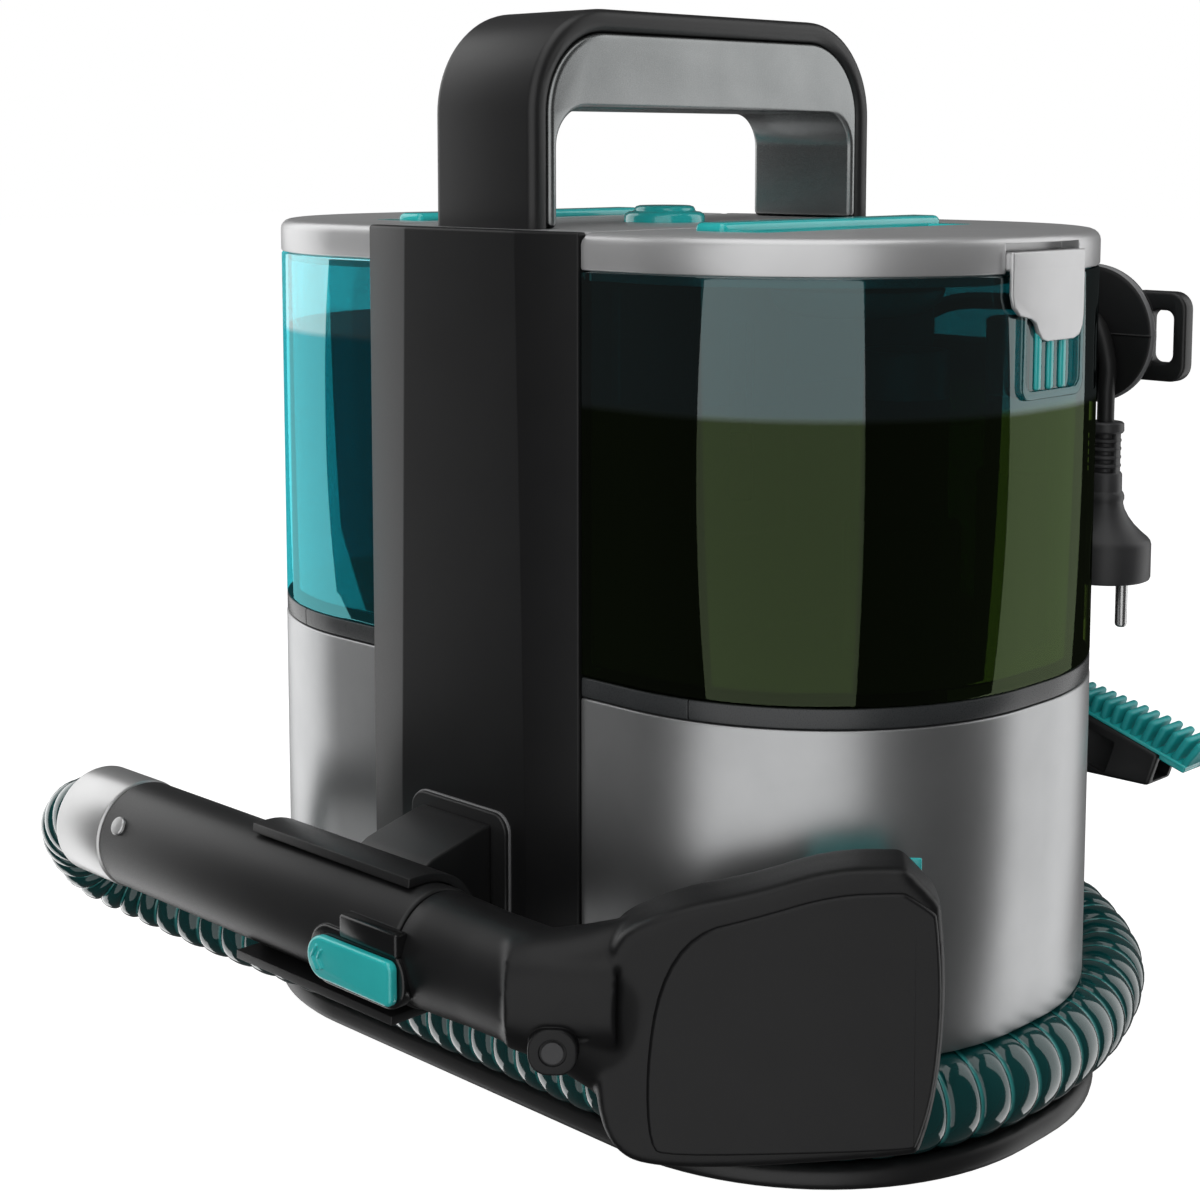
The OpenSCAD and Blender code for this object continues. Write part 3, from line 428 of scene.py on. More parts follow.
def prism(name, outline, low, high, material, round_by=0.0, segments=4, axis="Z", sharp=SHARP):
    """Outline extruded along X, -Y or Z between two heights, with rounded rims."""
    place = {"X": lambda a, b, h: (h, a, b), "Y": lambda a, b, h: (a, -h, b),
             "Z": lambda a, b, h: (a, b, h)}[axis]
    rings = [[place(a, b, h) for a, b in outline] for h in (low, high)]
    obj = loft(name, rings, material, sharp)
    return bevel(obj, round_by, segments, 40.0) if round_by else obj


def put(obj, body, slot, *nodes):
    """Rides on a body and stands for CAD nodes; the slot is not used."""
    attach(obj, body)
    if nodes:
        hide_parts(*nodes)
    return obj


def arc(cx, cy, radius, start, end, steps):
    """Points on an arc, angles in degrees."""
    return [(cx + radius * math.cos(math.radians(start + (end - start) * k / steps)),
             cy + radius * math.sin(math.radians(start + (end - start) * k / steps)))
            for k in range(steps + 1)]


def four_arcs(x, y, radius, steps):
    """Closed outline of quarter arcs about the points at +-x, +-y."""
    return (arc(x, -y, radius, -90, 0, steps) + arc(x, y, radius, 0, 90, steps)
            + arc(-x, y, radius, 90, 180, steps) + arc(-x, -y, radius, 180, 270, steps))


def rounded_rect(width, depth, radius):
    """Rectangle with round corners."""
    return four_arcs(width / 2 - radius, depth / 2 - radius, radius, CORNER_STEPS)


CORNER_X, CORNER_Y = BODY_W / 2 - BODY_R, BODY_D / 2 - BODY_R


def plan(inset):
    """Outline of the whole body in plan, drawn in by an inset."""
    return four_arcs(CORNER_X, CORNER_Y, BODY_R - inset, PLAN_STEPS)


def lobe(side, inset, inner=0.0):
    """Outline of one lobe beside the spine; inner moves its flat side outwards."""
    r = BODY_R - inset
    flat = LOBE_X + inner
    right = ([(flat, -CORNER_Y - r)] + arc(CORNER_X, -CORNER_Y, r, -90, 0, LOBE_STEPS)
             + arc(CORNER_X, CORNER_Y, r, 0, 90, LOBE_STEPS) + [(flat, CORNER_Y + r)])
    if side > 0:
        return right
    return [(-px, py) for px, py in reversed(right)]


def inset_rings(outline, levels):
    """Rings from (height, inset) pairs for an outline function."""
    return [[(x, y, z) for x, y in outline(inset)] for z, inset in levels]


def on_route(points, u):
    """Point on the smooth curve through the points, at u segments from its start."""
    i = min(int(math.floor(u)), len(points) - 2)
    t = u - i
    a, b = Vector(points[max(i - 1, 0)]), Vector(points[i])
    c, d = Vector(points[i + 1]), Vector(points[min(i + 2, len(points) - 1)])
    return 0.5 * (2 * b + (c - a) * t + (2 * a - 5 * b + 4 * c - d) * t * t
                  + (3 * b - a - 3 * c + d) * t * t * t)


def frames_along(points):
    """Tangents and steady side directions along a polyline."""
    tangents = []
    for i in range(len(points)):
        a, b = points[max(i - 1, 0)], points[min(i + 1, len(points) - 1)]
        tangents.append((b - a).normalized())
    side = tangents[0].cross(Vector((0, 0, 1)))
    if side.length < 0.1:
        side = tangents[0].cross(Vector((0, 1, 0)))
    side.normalize()
    result = []
    for t in tangents:
        side = (side - t * side.dot(t)).normalized()
        result.append((t, side, t.cross(side)))
    return result


def tube(name, points, radius, material, count):
    """Round tube along a line of points."""
    rings = []
    for p, (_, u, v) in zip(points, frames_along(points)):
        rings.append([tuple(p + radius * (math.cos(math.tau * k / count) * u
                                          + math.sin(math.tau * k / count) * v))
                      for k in range(count)])
    return loft(name, rings, material, sharp=60.0)


# ---- camera, in metres

AZIMUTH, PITCH = math.radians(44.55), math.radians(6.5)
camera_data = bpy.data.cameras.new("camera")
camera_data.sensor_width = 36.0
camera_data.lens = 64.79
camera_data.shift_y = -0.171
camera_data.clip_start = 0.02
camera = add_object("camera", camera_data)
camera.location = (0.581, -0.6265, 0.3495)
look = Vector((-math.sin(AZIMUTH) * math.cos(PITCH), math.cos(AZIMUTH) * math.cos(PITCH),
               -math.sin(PITCH)))
camera.rotation_mode = "QUATERNION"
camera.rotation_quaternion = look.to_track_quat("-Z", "Y")
scene.camera = camera


# ---- suction hose

HOSE_ROUTE = [
    (-132.5, -160, 79), (-166, -160, 79), (-188, -154, 68), (-194, -140, 50), (-180, -124, 38),
    (-150, -112, 30), (-112, -104, 26), (-72, -102, 26), (-36, -102, 26), (0, -102, 26),
    (36, -102, 26), (70, -102, 26), (104, -97, 26), (136, -82, 26), (159, -56, 26),
    (170, -20, 26), (170, 20, 26), (162, 60, 26), (146, 97, 29), (122, 116, 35), (98, 123, 40),
    (76, 126, 43), (40, 130, 44), (4, 131, 44), (-32, 130, 44), (-67, 127, 44),
    (-102, 121, 44), (-136, 109, 44), (-167, 89, 44), (-189, 60, 44), (-197, 25, 44),
    (-197, -9, 44)]
RIBS_PER_SPAN, RIB_STEPS, HOSE_SIDES = 3, 16, 40
RIB_DEPTH, RING_RISE, BORE_R = 2.7, 0.7, 12.2


def hose():
    """Corrugated hose of round bulges, its bore, and the lines that both follow."""
    spans = len(HOSE_ROUTE) - 1
    steps = spans * RIBS_PER_SPAN * RIB_STEPS
    line = [on_route(HOSE_ROUTE, spans * i / steps) for i in range(steps + 1)]
    points, groove = [], []
    for i, (p, (_, u, v)) in enumerate(zip(line, frames_along(line))):
        phase = (i % RIB_STEPS) / RIB_STEPS
        bulge = math.sqrt(max(0.0, 1.0 - abs(2.0 * phase - 1.0) ** 2.4))
        radius = HOSE_D / 2 - RIB_DEPTH * (1.0 - bulge)
        if phase == 0.0:
            radius += RING_RISE
        for k in range(HOSE_SIDES):
            a = math.tau * k / HOSE_SIDES
            points.append(p + radius * (math.cos(a) * u + math.sin(a) * v))
            groove.append(max(0.0, 1.0 - 9.0 * min(phase, 1.0 - phase)))
    faces = skin_faces(HOSE_SIDES, len(line))
    obj = solid("suction_hose_ribbed", points, faces, HOSE, sharp=180.0)
    attribute = obj.data.attributes.new("groove", "FLOAT", "POINT")
    attribute.data.foreach_set("value", groove)
    core_line = line[::RIB_STEPS // 2]
    return obj, tube("suction_hose_bore", core_line, BORE_R, INNER, 20), line, core_line


hose_piece, hose_core, hose_line, hose_core_line = hose()
for part, part_slot in ((hose_piece, "hose_teal"), (hose_core, "inner_black")):
    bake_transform(part)
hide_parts("suction_hose")


# ---- power cord

HANK_X, HANK_Y, HANK_TOP, HANK_LOW = -30, 114, 262, 105
HANK_R, HANK_PITCH, HANK_LOOPS, LAYER_TURNS = 14, 7.6, 10, 2.5
LOOP_STEPS, CLIMB = 24, 0.085       # points to a loop, and turns taken to change layers


def hank_point(i):
    """Point at step i of the hank, as in the part."""
    t, half = i / LOOP_STEPS, i // (LOOP_STEPS // 2)
    j = i - LOOP_STEPS // 2 * half
    side = 1 if half % 2 == 0 else -1
    r = HANK_R + HANK_PITCH * abs(LAYER_TURNS - t % (2 * LAYER_TURNS))
    height = (HANK_TOP - HANK_LOW) / 2
    a = math.radians(22.5 * (j - 2))
    x = r if j < 2 else (-r if j > 10 else r * math.cos(a))
    z = height * 0.6 * j if j < 2 else (height * 0.6 if j > 10 else height + r * math.sin(a))
    k = math.floor(t / LAYER_TURNS)
    f = t - k * LAYER_TURNS
    layer = float(k)
    if k < 3 and f > LAYER_TURNS - CLIMB:
        layer += 0.5 * (f - LAYER_TURNS + CLIMB) / CLIMB
    if k > 0 and f < CLIMB:
        layer -= 0.5 - 0.5 * f / CLIMB
    return (HANK_X + side * x, HANK_Y + HANK_PITCH * layer, (HANK_TOP + HANK_LOW) / 2 + side * z)


LEAD = [(3, 114, 97), (3, 114, 125), (3, 114, 155)]
TAIL = [(3.4, 137, 205), (5, 137, 228), (10, 136, 252), (22, 135, 273), (42, 134, 284),
        (68, 134, 286.2), (98, 134, 286.2), (113, 134, 280), (119, 134, 265), (119, 134, 252),
        (119, 134, 240)]


def power_cord():
    """One unbroken cord: the lead, the hank on its two pegs and the tail to the plug."""
    hank = [hank_point(i) for i in range(LOOP_STEPS * HANK_LOOPS + 1)]
    knots = LEAD + hank + TAIL
    line = []
    for i in range(len(knots) - 1):
        parts = 3 if 2 < i < len(LEAD) + len(hank) - 2 else 6
        line += [on_route(knots, i + k / parts) for k in range(parts)]
    line.append(Vector(knots[-1]))
    return tube("power_cord", line, CORD_D / 2, CORD_BLACK, 16), line


cord_piece, cord_line = power_cord()
put(cord_piece, "root", "cord_black", "power_lead", "power_hank", "power_tail")

PLUG_X, PLUG_Y, PLUG_TOP, PLUG_FACE = 119, 134, 240, 176


def plug():
    """Moulded plug: flange, ribbed strain relief, neck with a bead, bell and face."""
    top = PLUG_TOP
    body = [(3.6, top), (6.9, top), (7.5, top - 0.6), (7.6, top - 3.6), (7.0, top - 4.4),
            (4.6, top - 4.6)]
    for k in range(4):
        z = top - 6.4 - 3.4 * k
        body += [(4.6, z), (6.2, z - 0.2), (6.6, z - 0.6), (6.6, z - 1.4), (6.2, z - 1.8),
                 (4.6, z - 2.0)]
    body += [(4.6, top - 20.2), (6.7, top - 20.4), (7.2, top - 21.2), (7.3, top - 28.0),
             (7.9, top - 28.8), (8.3, top - 30.0), (8.3, top - 31.4), (7.9, top - 32.2),
             (7.9, top - 33.2), (8.6, top - 35.6), (10.2, top - 38.6), (12.6, top - 41.8),
             (15.4, top - 44.6), (18.0, top - 46.8), (19.0, top - 48.0), (19.4, top - 49.4),
             (19.4, top - 62.6), (19.0, top - 63.6), (18.2, PLUG_FACE), (0.0, PLUG_FACE)]
    parts = [move(lathe("plug_turned", body[::-1], PLUG_GREY, 72), PLUG_X, PLUG_Y, 0)]
    for x0, x1 in ((-6.3, -4.2), (4.2, 6.3)):
        parts.append(block("plug_rib", (PLUG_X + x0, PLUG_Y - 2.2, top - 21),
                           (PLUG_X + x1, PLUG_Y + 2.2, top - 4), PLUG_GREY, 0.6))
    return join("plug_moulding", parts)


def plug_pins():
    """Two round pins with rounded tips."""
    parts = []
    for side in (-1, 1):
        pin = lathe("pin", [(0, 0), (1.5, 0.1), (2.2, 0.7), (2.4, 1.6), (2.4, 19)], STEEL, 32)
        parts.append(move(pin, PLUG_X + 9.5 * side, PLUG_Y, PLUG_FACE - 19))
    return join("plug_pins_round", parts)


def gland():
    """Block and ringed strain relief where the cord leaves the machine."""
    root_block = block("gland_block", (-5, 109, 62), (11, 120, 74), BLACK, 1.4)
    profile = [(4.9, 0)]
    for k in range(5):
        z = 1.6 + 4.2 * k
        profile += [(4.9 - 0.13 * k, z), (4.2, z + 0.3), (4.2, z + 1.3), (4.8 - 0.13 * k, z + 1.6)]
    profile += [(4.2, 22.6), (3.7, 23)]
    return join("cord_gland_relief", [root_block, move(lathe("gland_taper", profile, BLACK, 48),
                                                       3, 114, 74)])


plug_piece = put(plug(), "root", "cord_black", "plug_body")
pins_piece = put(plug_pins(), "root", "steel", "plug_pins")
gland_piece = put(gland(), "root", "cord_black", "cord_gland")


# ---- rear cord hooks

DISC_X, DISC_Z, PULL_X = 108.5, 275, 134.5


def disc_with_pull():
    """Round disc whose rim is painted light grey as a highlight, with a seam and its D-shaped pull.
    """
    disc = lathe("disc", [(0, 0), (25.6, 0), (27, 0.3), (27.8, 1), (28, 1.8), (28, 2.9),
                          (27.7, 3.8), (27, 4.4), (25.8, 4.6), (24.6, 4.4), (23.9, 3.9),
                          (0, 3.9)], BLACK, 96)
    # The rim's light grey is a painted highlight on the disc's rounded edge.
    rim = lathe("disc_rim", [(27.3, 0.1), (28.1, 0.9), (28.25, 1.5), (28.1, 2.1), (27.3, 2.6)],
                PAINTED_EDGE_HIGHLIGHT, 96, capped=False)
    seam = block("disc_seam", (-27.4, -0.3, -0.15), (27.4, 0.3, 0.5), BLACK_FACE, 0.12, 2)
    for part in (disc, rim, seam):
        along_y(part, DISC_X, 138.5, DISC_Z)
    pull = prism("pull", rounded_rect(28, 36, 7), -149.5, -142.5, BLACK, axis="Y")
    hole = prism("hole", rounded_rect(10.5, 21, 3.5), -155, -130, BLACK, axis="Y")
    bevel(cut(pull, move(hole, 3.25, 0, 0)), 1.3, 4, 40.0)
    move(pull, PULL_X, 0, DISC_Z)
    return join("disc_and_pull", [disc, rim, seam, pull])


put(disc_with_pull(), "root", "black_plastic", "cord_hook_disc")


# ---- crevice tool

CREVICE = at(15.2, 135, 146.3) @ rotation(18, "Y")


def crevice_tool():
    """Socket with its rim, and the hollow blade."""
    socket = lathe("socket", [(18, 42), (18, 0.6), (18.6, 0), (21, 0), (22, 0.9),
                              (22, 5.4), (21.4, 6), (21.4, 7.2), (22, 7.8), (22, 44),
                              (21.2, 52), (18.5, 57), (13, 60)], BLACK, 72)
    along_x(socket)
    side = [(40, -13), (60, -16), (96, -22), (141, -7), (141, 7), (40, 7)]
    blade = prism("blade", side[::-1], -9, 9, BLACK, 1.6, 4, axis="Y")
    cut(blade, block("mouth", (106, -6, -5.5), (150, 6, 5), INNER, 1.2, 3))
    cut(blade, block("window", (108, -12, -12), (122, -7.2, 2.5), INNER, 0.8, 2))
    return join("crevice_tool_body", [shift(p, CREVICE) for p in (socket, blade)])


def crevice_comb():
    """Comb of soft bars along the blade's upper edge."""
    parts = [block("comb_base", (80, -8, 7), (153, 8, 8.5), TEAL, 0.5),
             block("comb_tip", (141, -8, 5.3), (153, 8, 8.4), TEAL, 0.8)]
    for k in range(15):
        x, rise = 81.5 + 4.9 * k, 4.5 + 0.55 * k
        bar = block("comb_bar", (0, -7.4, 0), (2.9, 7.4, rise), BRISTLE, 1.2, 3)
        parts.append(shift(bar, at(x, 0, 8.2) @ rotation(2.2 * max(k - 6, 0), "Y")))
    return join("crevice_comb", [shift(p, CREVICE) for p in parts])


put(crevice_tool(), "crevice_tool", "black_plastic", "crevice_body")
put(crevice_comb(), "crevice_tool", "brush_teal", "crevice_brush")


# ---- base and lower shells

BASE_LEVELS = [(0, -2), (0.5, -3.4), (1.6, -4.6), (3.2, -5), (5.6, -5), (7.2, -4.5),
               (8.3, -3.4), (8.9, -2), (9, -0.6), (8.5, 0.8), (7.4, 1.8), (6.4, 3.2),
               (6, 5), (6, 34), (6.6, 36.6), (8.4, 38), (43, 38)]
base_piece = loft("base_with_rim", inset_rings(plan, BASE_LEVELS), BLACK)
put(base_piece, "root", "black_plastic", "base_tray")


def shell(side, name):
    """Silver shell with a fine rounded rim and the well in its shelf."""
    levels = [(43, 3), (43, 0.9), (43.3, 0.3), (44, 0), (157.2, 0), (157.7, 0.25),
              (158, 0.8)]
    obj = loft(name, inset_rings(lambda i: lobe(side, i), levels), SILVER)
    well = lathe("well", [(24, 130), (24, 170)], SILVER, 72)
    return cut(obj, move(well, side * WELL_X, 0, 0))


for side, name in ((-1, "left"), (1, "right")):
    put(shell(side, f"shell_{name}"), "root", "silver_plastic", f"lower_shell_{name}")


# ---- spine

WAIST_Z, NARROWING = 110, 4.5


def spine_ring(z, out, rear=False):
    """Section of the spine cover: a face between two chamfers, narrowing towards the top."""
    narrowing = NARROWING * max(0.0, z - WAIST_Z) / (LID_TOP - WAIST_Z)
    half = SPINE_W / 2 - out
    right = [(half, 100.0), (half, 104.0 - out), (34.0 - narrowing - out, SPINE_Y - out)]
    ring = [(-x, -y) for x, y in right] + [(x, -y) for x, y in reversed(right)]
    if rear:
        ring = [(x, -y) for x, y in reversed(ring)]
    return [(x, y, z) for x, y in ring]


def spine_cover(name, rear):
    """Front or rear cover, drawn in a little at its foot and top."""
    heights = [43.4, 46.0, WAIST_Z, 160.0, 210.0, 260.0, 320.3, LID_TOP]
    rings = [spine_ring(z, 0.0 if heights[0] < z < LID_TOP else 0.6, rear) for z in heights]
    return bevel(loft(name, rings, BLACK_FACE, sharp=4.0), 2.2, 5, 6.0)


front_cover = spine_cover("spine_front", False)
put(front_cover, "root", "black_plastic", "spine_front_cover")
rear_cover = spine_cover("spine_rear", True)
for k in range(7):
    cut(rear_cover, block("grille", (12, 100.6, 197 + 6 * k), (46, 120, 200 + 6 * k), INNER, 0.6, 2))
put(rear_cover, "root", "black_plastic", "spine_rear_cover")


# ---- handle

def arch_outline(half, low, high, radius):
    """Outline in the YZ plane: two legs and a top with round corners."""
    return ([(-half, low)] + arc(-half + radius, high - radius, radius, 180, 90, 20)
            + arc(half - radius, high - radius, radius, 90, 0, 20) + [(half, low)])


def arch_band(name, outer, inner, half_width, material, round_by, segments):
    """Band between two arch outlines, extruded across X and rounded."""
    outline = outer + inner[::-1]
    return prism(name, outline, -half_width, half_width, material, round_by, segments, axis="X",
                 sharp=30.0)


HANDLE_HALF, HANDLE_FOOT, HANDLE_TOP, HANDLE_R, HANDLE_WALL = 97.0, 297.0, 400.0, 38.0, 8.5
handle_outer = arch_band(
    "handle_shell", arch_outline(HANDLE_HALF, HANDLE_FOOT, HANDLE_TOP, HANDLE_R),
    arch_outline(HANDLE_HALF - HANDLE_WALL, HANDLE_FOOT, HANDLE_TOP - HANDLE_WALL,
                 HANDLE_R - HANDLE_WALL), 26.5, BLACK, 3.4, 5)
put(handle_outer, "root", "black_plastic", "handle_outer_shell")
# The grip's darker silver is painted shade under the handle's top.
grip = arch_band("handle_grip", arch_outline(88.4, 321.1, 391.4, 29.4),
                 arch_outline(84.0, 321.1, 364.0, 14.0), 26.2, GRIP_SILVER_PAINTED_SHADE, 11.0, 9)
put(grip, "root", "silver_plastic", "handle_grip_shell")


# ---- tanks, bands and lids

STRAP_X, PIN_X, POCKET_X = 80.0, 101.4, 88.0


def band(side):
    """Grey band under a tank, with the hole for its well and a seam in front."""
    levels = [(158.3, 0.9), (158.7, 0.35), (159.3, 0.2), (164.6, 0.2), (165.1, 0.4), (165.3, 0.8)]
    obj = loft("band", inset_rings(lambda i: lobe(side, i), levels), BAND)
    hole_r = 22 if side < 0 else 18
    hole = lathe("hole", [(hole_r, 150), (hole_r, 170)], BAND, 48)
    cut(obj, move(hole, side * WELL_X, 0, 0))
    seam = block("seam", (-0.25, -1, 150), (0.25, 3, 170), BAND)
    return cut(obj, move(seam, side * 104.0, -100.4, 0))


def tank_wall(side, material):
    """Clear tank: outer skin, rim and inner skin with its floor."""
    outer = [(165.4, 1.2), (165.8, 0.5), (166.6, 0.15), (306.8, 0.15), (307.5, 0.6)]
    inner = [(307.5, WALL - 0.5), (306.9, WALL), (170.6, WALL), (169.1, WALL + 0.8),
             (168.4, WALL + 2.4)]
    rings = inset_rings(lambda i: lobe(side, i, max(i - 0.15, 0.0)), outer + inner)
    return loft("tank", rings, material)


def liquid(side, top, material):
    """Liquid that fills the tank to a level, with a raised edge against the wall."""
    levels = [(168.9, WALL + 2.8), (169.5, WALL + 1.2), (171.0, WALL + 0.35),
              (top + 0.9, WALL + 0.35), (top + 0.3, WALL + 1.3), (top, WALL + 3.5)]
    return loft("liquid", inset_rings(lambda i: lobe(side, i, i), levels), material)


def lid(side):
    """Lid with a rounded rim, a step under it, the strap's pocket and room for the latch."""
    levels = [(304.2, 4.6), (304.4, 3.2), (307.9, 3.2), (308, 1), (308.2, 0.3), (308.8, 0),
              (317, 0), (318.4, 0.3), (319.5, 1), (320.3, 2), (320.8, 3.2), (321, 4.6)]
    obj = loft("lid", inset_rings(lambda i: lobe(side, i, min(i, 0.9)), levels), LID_SILVER)
    pocket = prism("pocket", rounded_rect(32.0, 129.0, 5.0), 317.0, 330.0, LID_SILVER)
    cut(obj, move(pocket, side * POCKET_X, 0, 0))
    if side > 0:
        cut(obj, block("latch_slot", (167.5, -22.3, 300), (176.2, 22.3, 318.2), LID_SILVER))
        cut(obj, block("skirt_notch", (175, -22.3, 300), (189, 22.3, 316.4), LID_SILVER))
    return obj


def strap(side):
    """Folding strap: a raised bar with its two end arms."""
    x, pin_x = side * STRAP_X, side * PIN_X
    parts = [block("bar", (x - 7.0, -64, 318.1), (x + 7.0, 64, 324.0), TEAL, 2.4, 5)]
    for y0, y1 in ((-64, -55), (55, 64)):
        low, high = (min(x, pin_x), y0, 318.0), (max(x, pin_x), y1, 321.0)
        parts.append(block("end", low, high, TEAL, 1.2, 4))
    return join("strap", parts)


def tank_set(side, name, wall_material, water_material, top):
    """Makes and places the band, wall, liquid, lid and strap of one tank."""
    clear_slot = f"{name}_tank_clear"
    pieces = (("band", band(side), "tank", "band_grey", f"{name}_band"),
              ("tank", tank_wall(side, wall_material), "tank", clear_slot, f"{name}_tank"),
              ("water", liquid(side, top, water_material), "tank", clear_slot),
              ("lid", lid(side), "lid", "silver_plastic", f"{name}_lid"),
              ("strap", strap(side), "bail", "teal_plastic", f"{name}_bail"))
    for key, obj, body, slot, *nodes in pieces:
        obj.name = f"{name}_{key}_piece"
        put(obj, f"{name}_{body}", slot, *nodes)


tank_set(-1, "clean", CLEAN_WALL, CLEAN_WATER, CLEAN_LEVEL)
tank_set(1, "dirty", DIRTY_WALL, DIRTY_WATER, DIRTY_LEVEL)


def latch_tab():
    """Tab that hangs from the lid and hooks under the tank's rim."""
    outline = [(-22, 315.4), (-22, 301), (-20.8, 297), (-17, 294), (-10, 292.6), (-7.6, 291),
               (-6, 287.8), (-3.5, 285.4), (0, 284.6), (16, 284.6), (19.5, 285.8), (21.4, 289),
               (22, 293), (22, 315.4)]
    tab = prism("tab", outline, 176.0, 177.6, LID_SILVER, 0.6, axis="X")
    root_bar = block("root_bar", (168.9, -22, 309.1), (177.4, 22, 315.4), LID_SILVER, 1.0)
    return join("latch_tab", [tab, root_bar])


put(latch_tab(), "dirty_latch", "silver_plastic", "dirty_latch")


# ---- inside the tanks

def catch_frame():
    """Moulded frame and ribs on the dirty tank, below the latch tab."""
    ring = prism("catch", rounded_rect(38, 34, 5), 174.4, 177.2, DIRTY_WALL, axis="X")
    cut(ring, prism("hole", rounded_rect(32, 28, 4), 170, 180, DIRTY_WALL, axis="X"))
    parts = [bevel(move(ring, 0, 4, 282), 0.7, 3, 40.0)]
    for y in (-4, 3.5, 11):
        parts.append(block("rib", (173.4, y - 1.6, 268), (177.0, y + 1.6, 290), TEAL, 1.0))
    return join("dirty_catch_frame", parts)


put(catch_frame(), "dirty_tank", "dirty_tank_clear")


def dirty_inside():
    """Riser with its collars, and the second column."""
    riser = lathe("riser", [(14, 158.6), (15.6, 158.6), (16, 159.2), (16, 168.4), (20.4, 168.6),
                            (21, 169.4), (21, 214), (20.2, 215.6), (18.4, 216), (16, 216.4),
                            (16, 277), (15.4, 278), (14, 278), (14, 158.6)], COLUMN, 64,
                  capped=False)
    column = lathe("column", [(0, 168.7), (13, 168.7), (13.5, 169.4), (13.5, 232), (12.8, 233.2),
                              (11, 233.6), (11, 288), (10, 289), (0, 289)], COLUMN, 48)
    return join("dirty_riser", [move(riser, WELL_X, 0, 0), move(column, 141, 36, 0)])


put(dirty_inside(), "dirty_tank", "inner_black", "dirty_inlet_tube")
dark_wall = block("dirty_dark_wall", (59.8, -92, 169), (64.4, 92, 302), INNER, 1.2)
put(dark_wall, "dirty_tank", "inner_black")


def cage():
    """Float cage with four windows."""
    obj = lathe("float_cage_fine", [(0, 216), (15.6, 216), (17, 217.2), (17, 302), (17.6, 303.4),
                                    (17.6, 307.4), (14.5, 307.4), (14.5, 219), (0, 219)],
                INNER, 64)
    for k in range(4):
        window = block("window", (-30, -4, 228), (30, 4, 290), INNER, 1.5)
        cut(obj, shift(window, rotation(45 + 90 * k, "Z") @ at(30, 0, 0)))
    return move(obj, 84, -52, 0)


put(cage(), "dirty_lid", "inner_black", "float_cage")


def filter_dish():
    """Teal dish under the dirty lid, over the riser."""
    dish = lathe("dirty_filter_dish", [(0, 294), (18, 294.2), (26, 296), (31, 299.4),
                                       (32.6, 303), (32.6, 304), (0, 304)], INNER_TEAL, 72)
    return move(dish, 112, -24, -3)


put(filter_dish(), "dirty_lid", "teal_plastic")


def clean_inside():
    """Dark wall by the spine, its rib, and the shoe over the valve of the clean tank."""
    wall = block("wall", (-64.4, -92, 169), (-59.8, 92, 302), INNER, 1.2)
    rib = block("rib", (-70, -58, 169), (-64.6, -52, 262), INNER, 1.0)
    shoe = lathe("shoe", [(0, 168.6), (24, 168.6), (26, 170), (26, 174), (22, 180), (15, 186),
                          (0, 186)], INNER, 48)
    return join("clean_inner_wall", [wall, rib, move(shoe, -84, 18, 0)])


put(clean_inside(), "clean_tank", "inner_black")


# ---- power button and deck

def button():
    """Two-tier button with soft rims."""
    return lathe("power_knob", [(0, 313), (15.7, 313), (15.9, 313.4), (15.9, 323.2),
                                (15.4, 324.2), (14.2, 324.9), (12.6, 325.1), (12.1, 325.4),
                                (11.9, 326.2), (11.3, 327), (10, 327.4), (0, 327.4)],
                 TEAL, 96, sharp=60.0)


put(button(), "power_button", "teal_plastic", "power_button")


def deck():
    """Top of the spine, with the button's well and the slots of the handle's legs."""
    obj = block("spine_deck", (-52.4, -100.4, 316), (52.4, 100.4, 321), LID_SILVER, 0.8)
    cut(obj, lathe("well", [(16.5, 300), (16.5, 330)], LID_SILVER, 72))
    for side in (-1, 1):
        y = side * 90.75
        cut(obj, block("leg", (-26.8, y - 6.55, 300), (26.8, y + 6.55, 340), LID_SILVER))
    return obj


put(deck(), "root", "silver_plastic", "spine_top")


# ---- dock

def dock_plate():
    """Plate with a fine rim painted light grey as a highlight."""
    plate = prism("plate", rounded_rect(52, 58, 7), 109.0, 111.5, BLACK, 0.7, axis="Y")
    # The rim's light grey is a painted highlight round the plate's edge.
    rim = prism("rim", rounded_rect(52.8, 58.8, 7.4), 108.8, 109.9, PAINTED_EDGE_HIGHLIGHT, axis="Y")
    return join("dock_plate_with_rim", [move(part, 0, 0, 81) for part in (plate, rim)])


put(dock_plate(), "root", "black_plastic", "dock_plate")


def cradle():
    """Half-pipe with flat lips and a window, on its arm."""
    outer = arc(0, 0, 24.6, -90, 90, 28)
    inner = arc(0, 0, 21.4, -90, 90, 28)
    ring = ([(-15.5, -24.6)] + outer + [(-7, 24.6), (-7.4, 21.4)] + inner[::-1]
            + [(-15.5, -21.4)])
    outline = [(DOCK_Y + y, TOOL_Z + z) for y, z in ring]
    pipe = prism("pipe", outline, -50, 38, BLACK, axis="X")
    cut(pipe, block("window", (-51, -152, 64), (-20, -128, 94), BLACK))
    bevel(pipe, 0.9, 3, 40.0)
    side = [(-139.4, 60), (-111.4, 62), (-111.4, 105.6), (-116, 105.2), (-139.4, 99.5), (-146, 96)]
    arm = prism("arm", side, -18.5, 18.5, BLACK, 1.2, axis="X")
    return join("cradle_with_arm", [pipe, arm])


put(cradle(), "root", "black_plastic", "dock_cradle")


# ---- hand tool

def on_tool(obj):
    """Turns a Z-axis piece onto the docked tool's axis."""
    return along_x(obj, 0.0, DOCK_Y, TOOL_Z)


COLLAR_PROFILE = [(17.5, -132.6), (20.6, -132.6), (21.4, -133.2), (21.5, -134), (21.5, -161.4),
                  (21.1, -162.6), (20.2, -163.5), (17.6, -163.5), (17.5, -132.6)]
collar = on_tool(lathe("tool_collar_fine", COLLAR_PROFILE[::-1], COLLAR, 96,
                       capped=False))
put(collar, "hand_tool", "collar_silver", "tool_collar")


LATCH_Z = TOOL_Z - 5


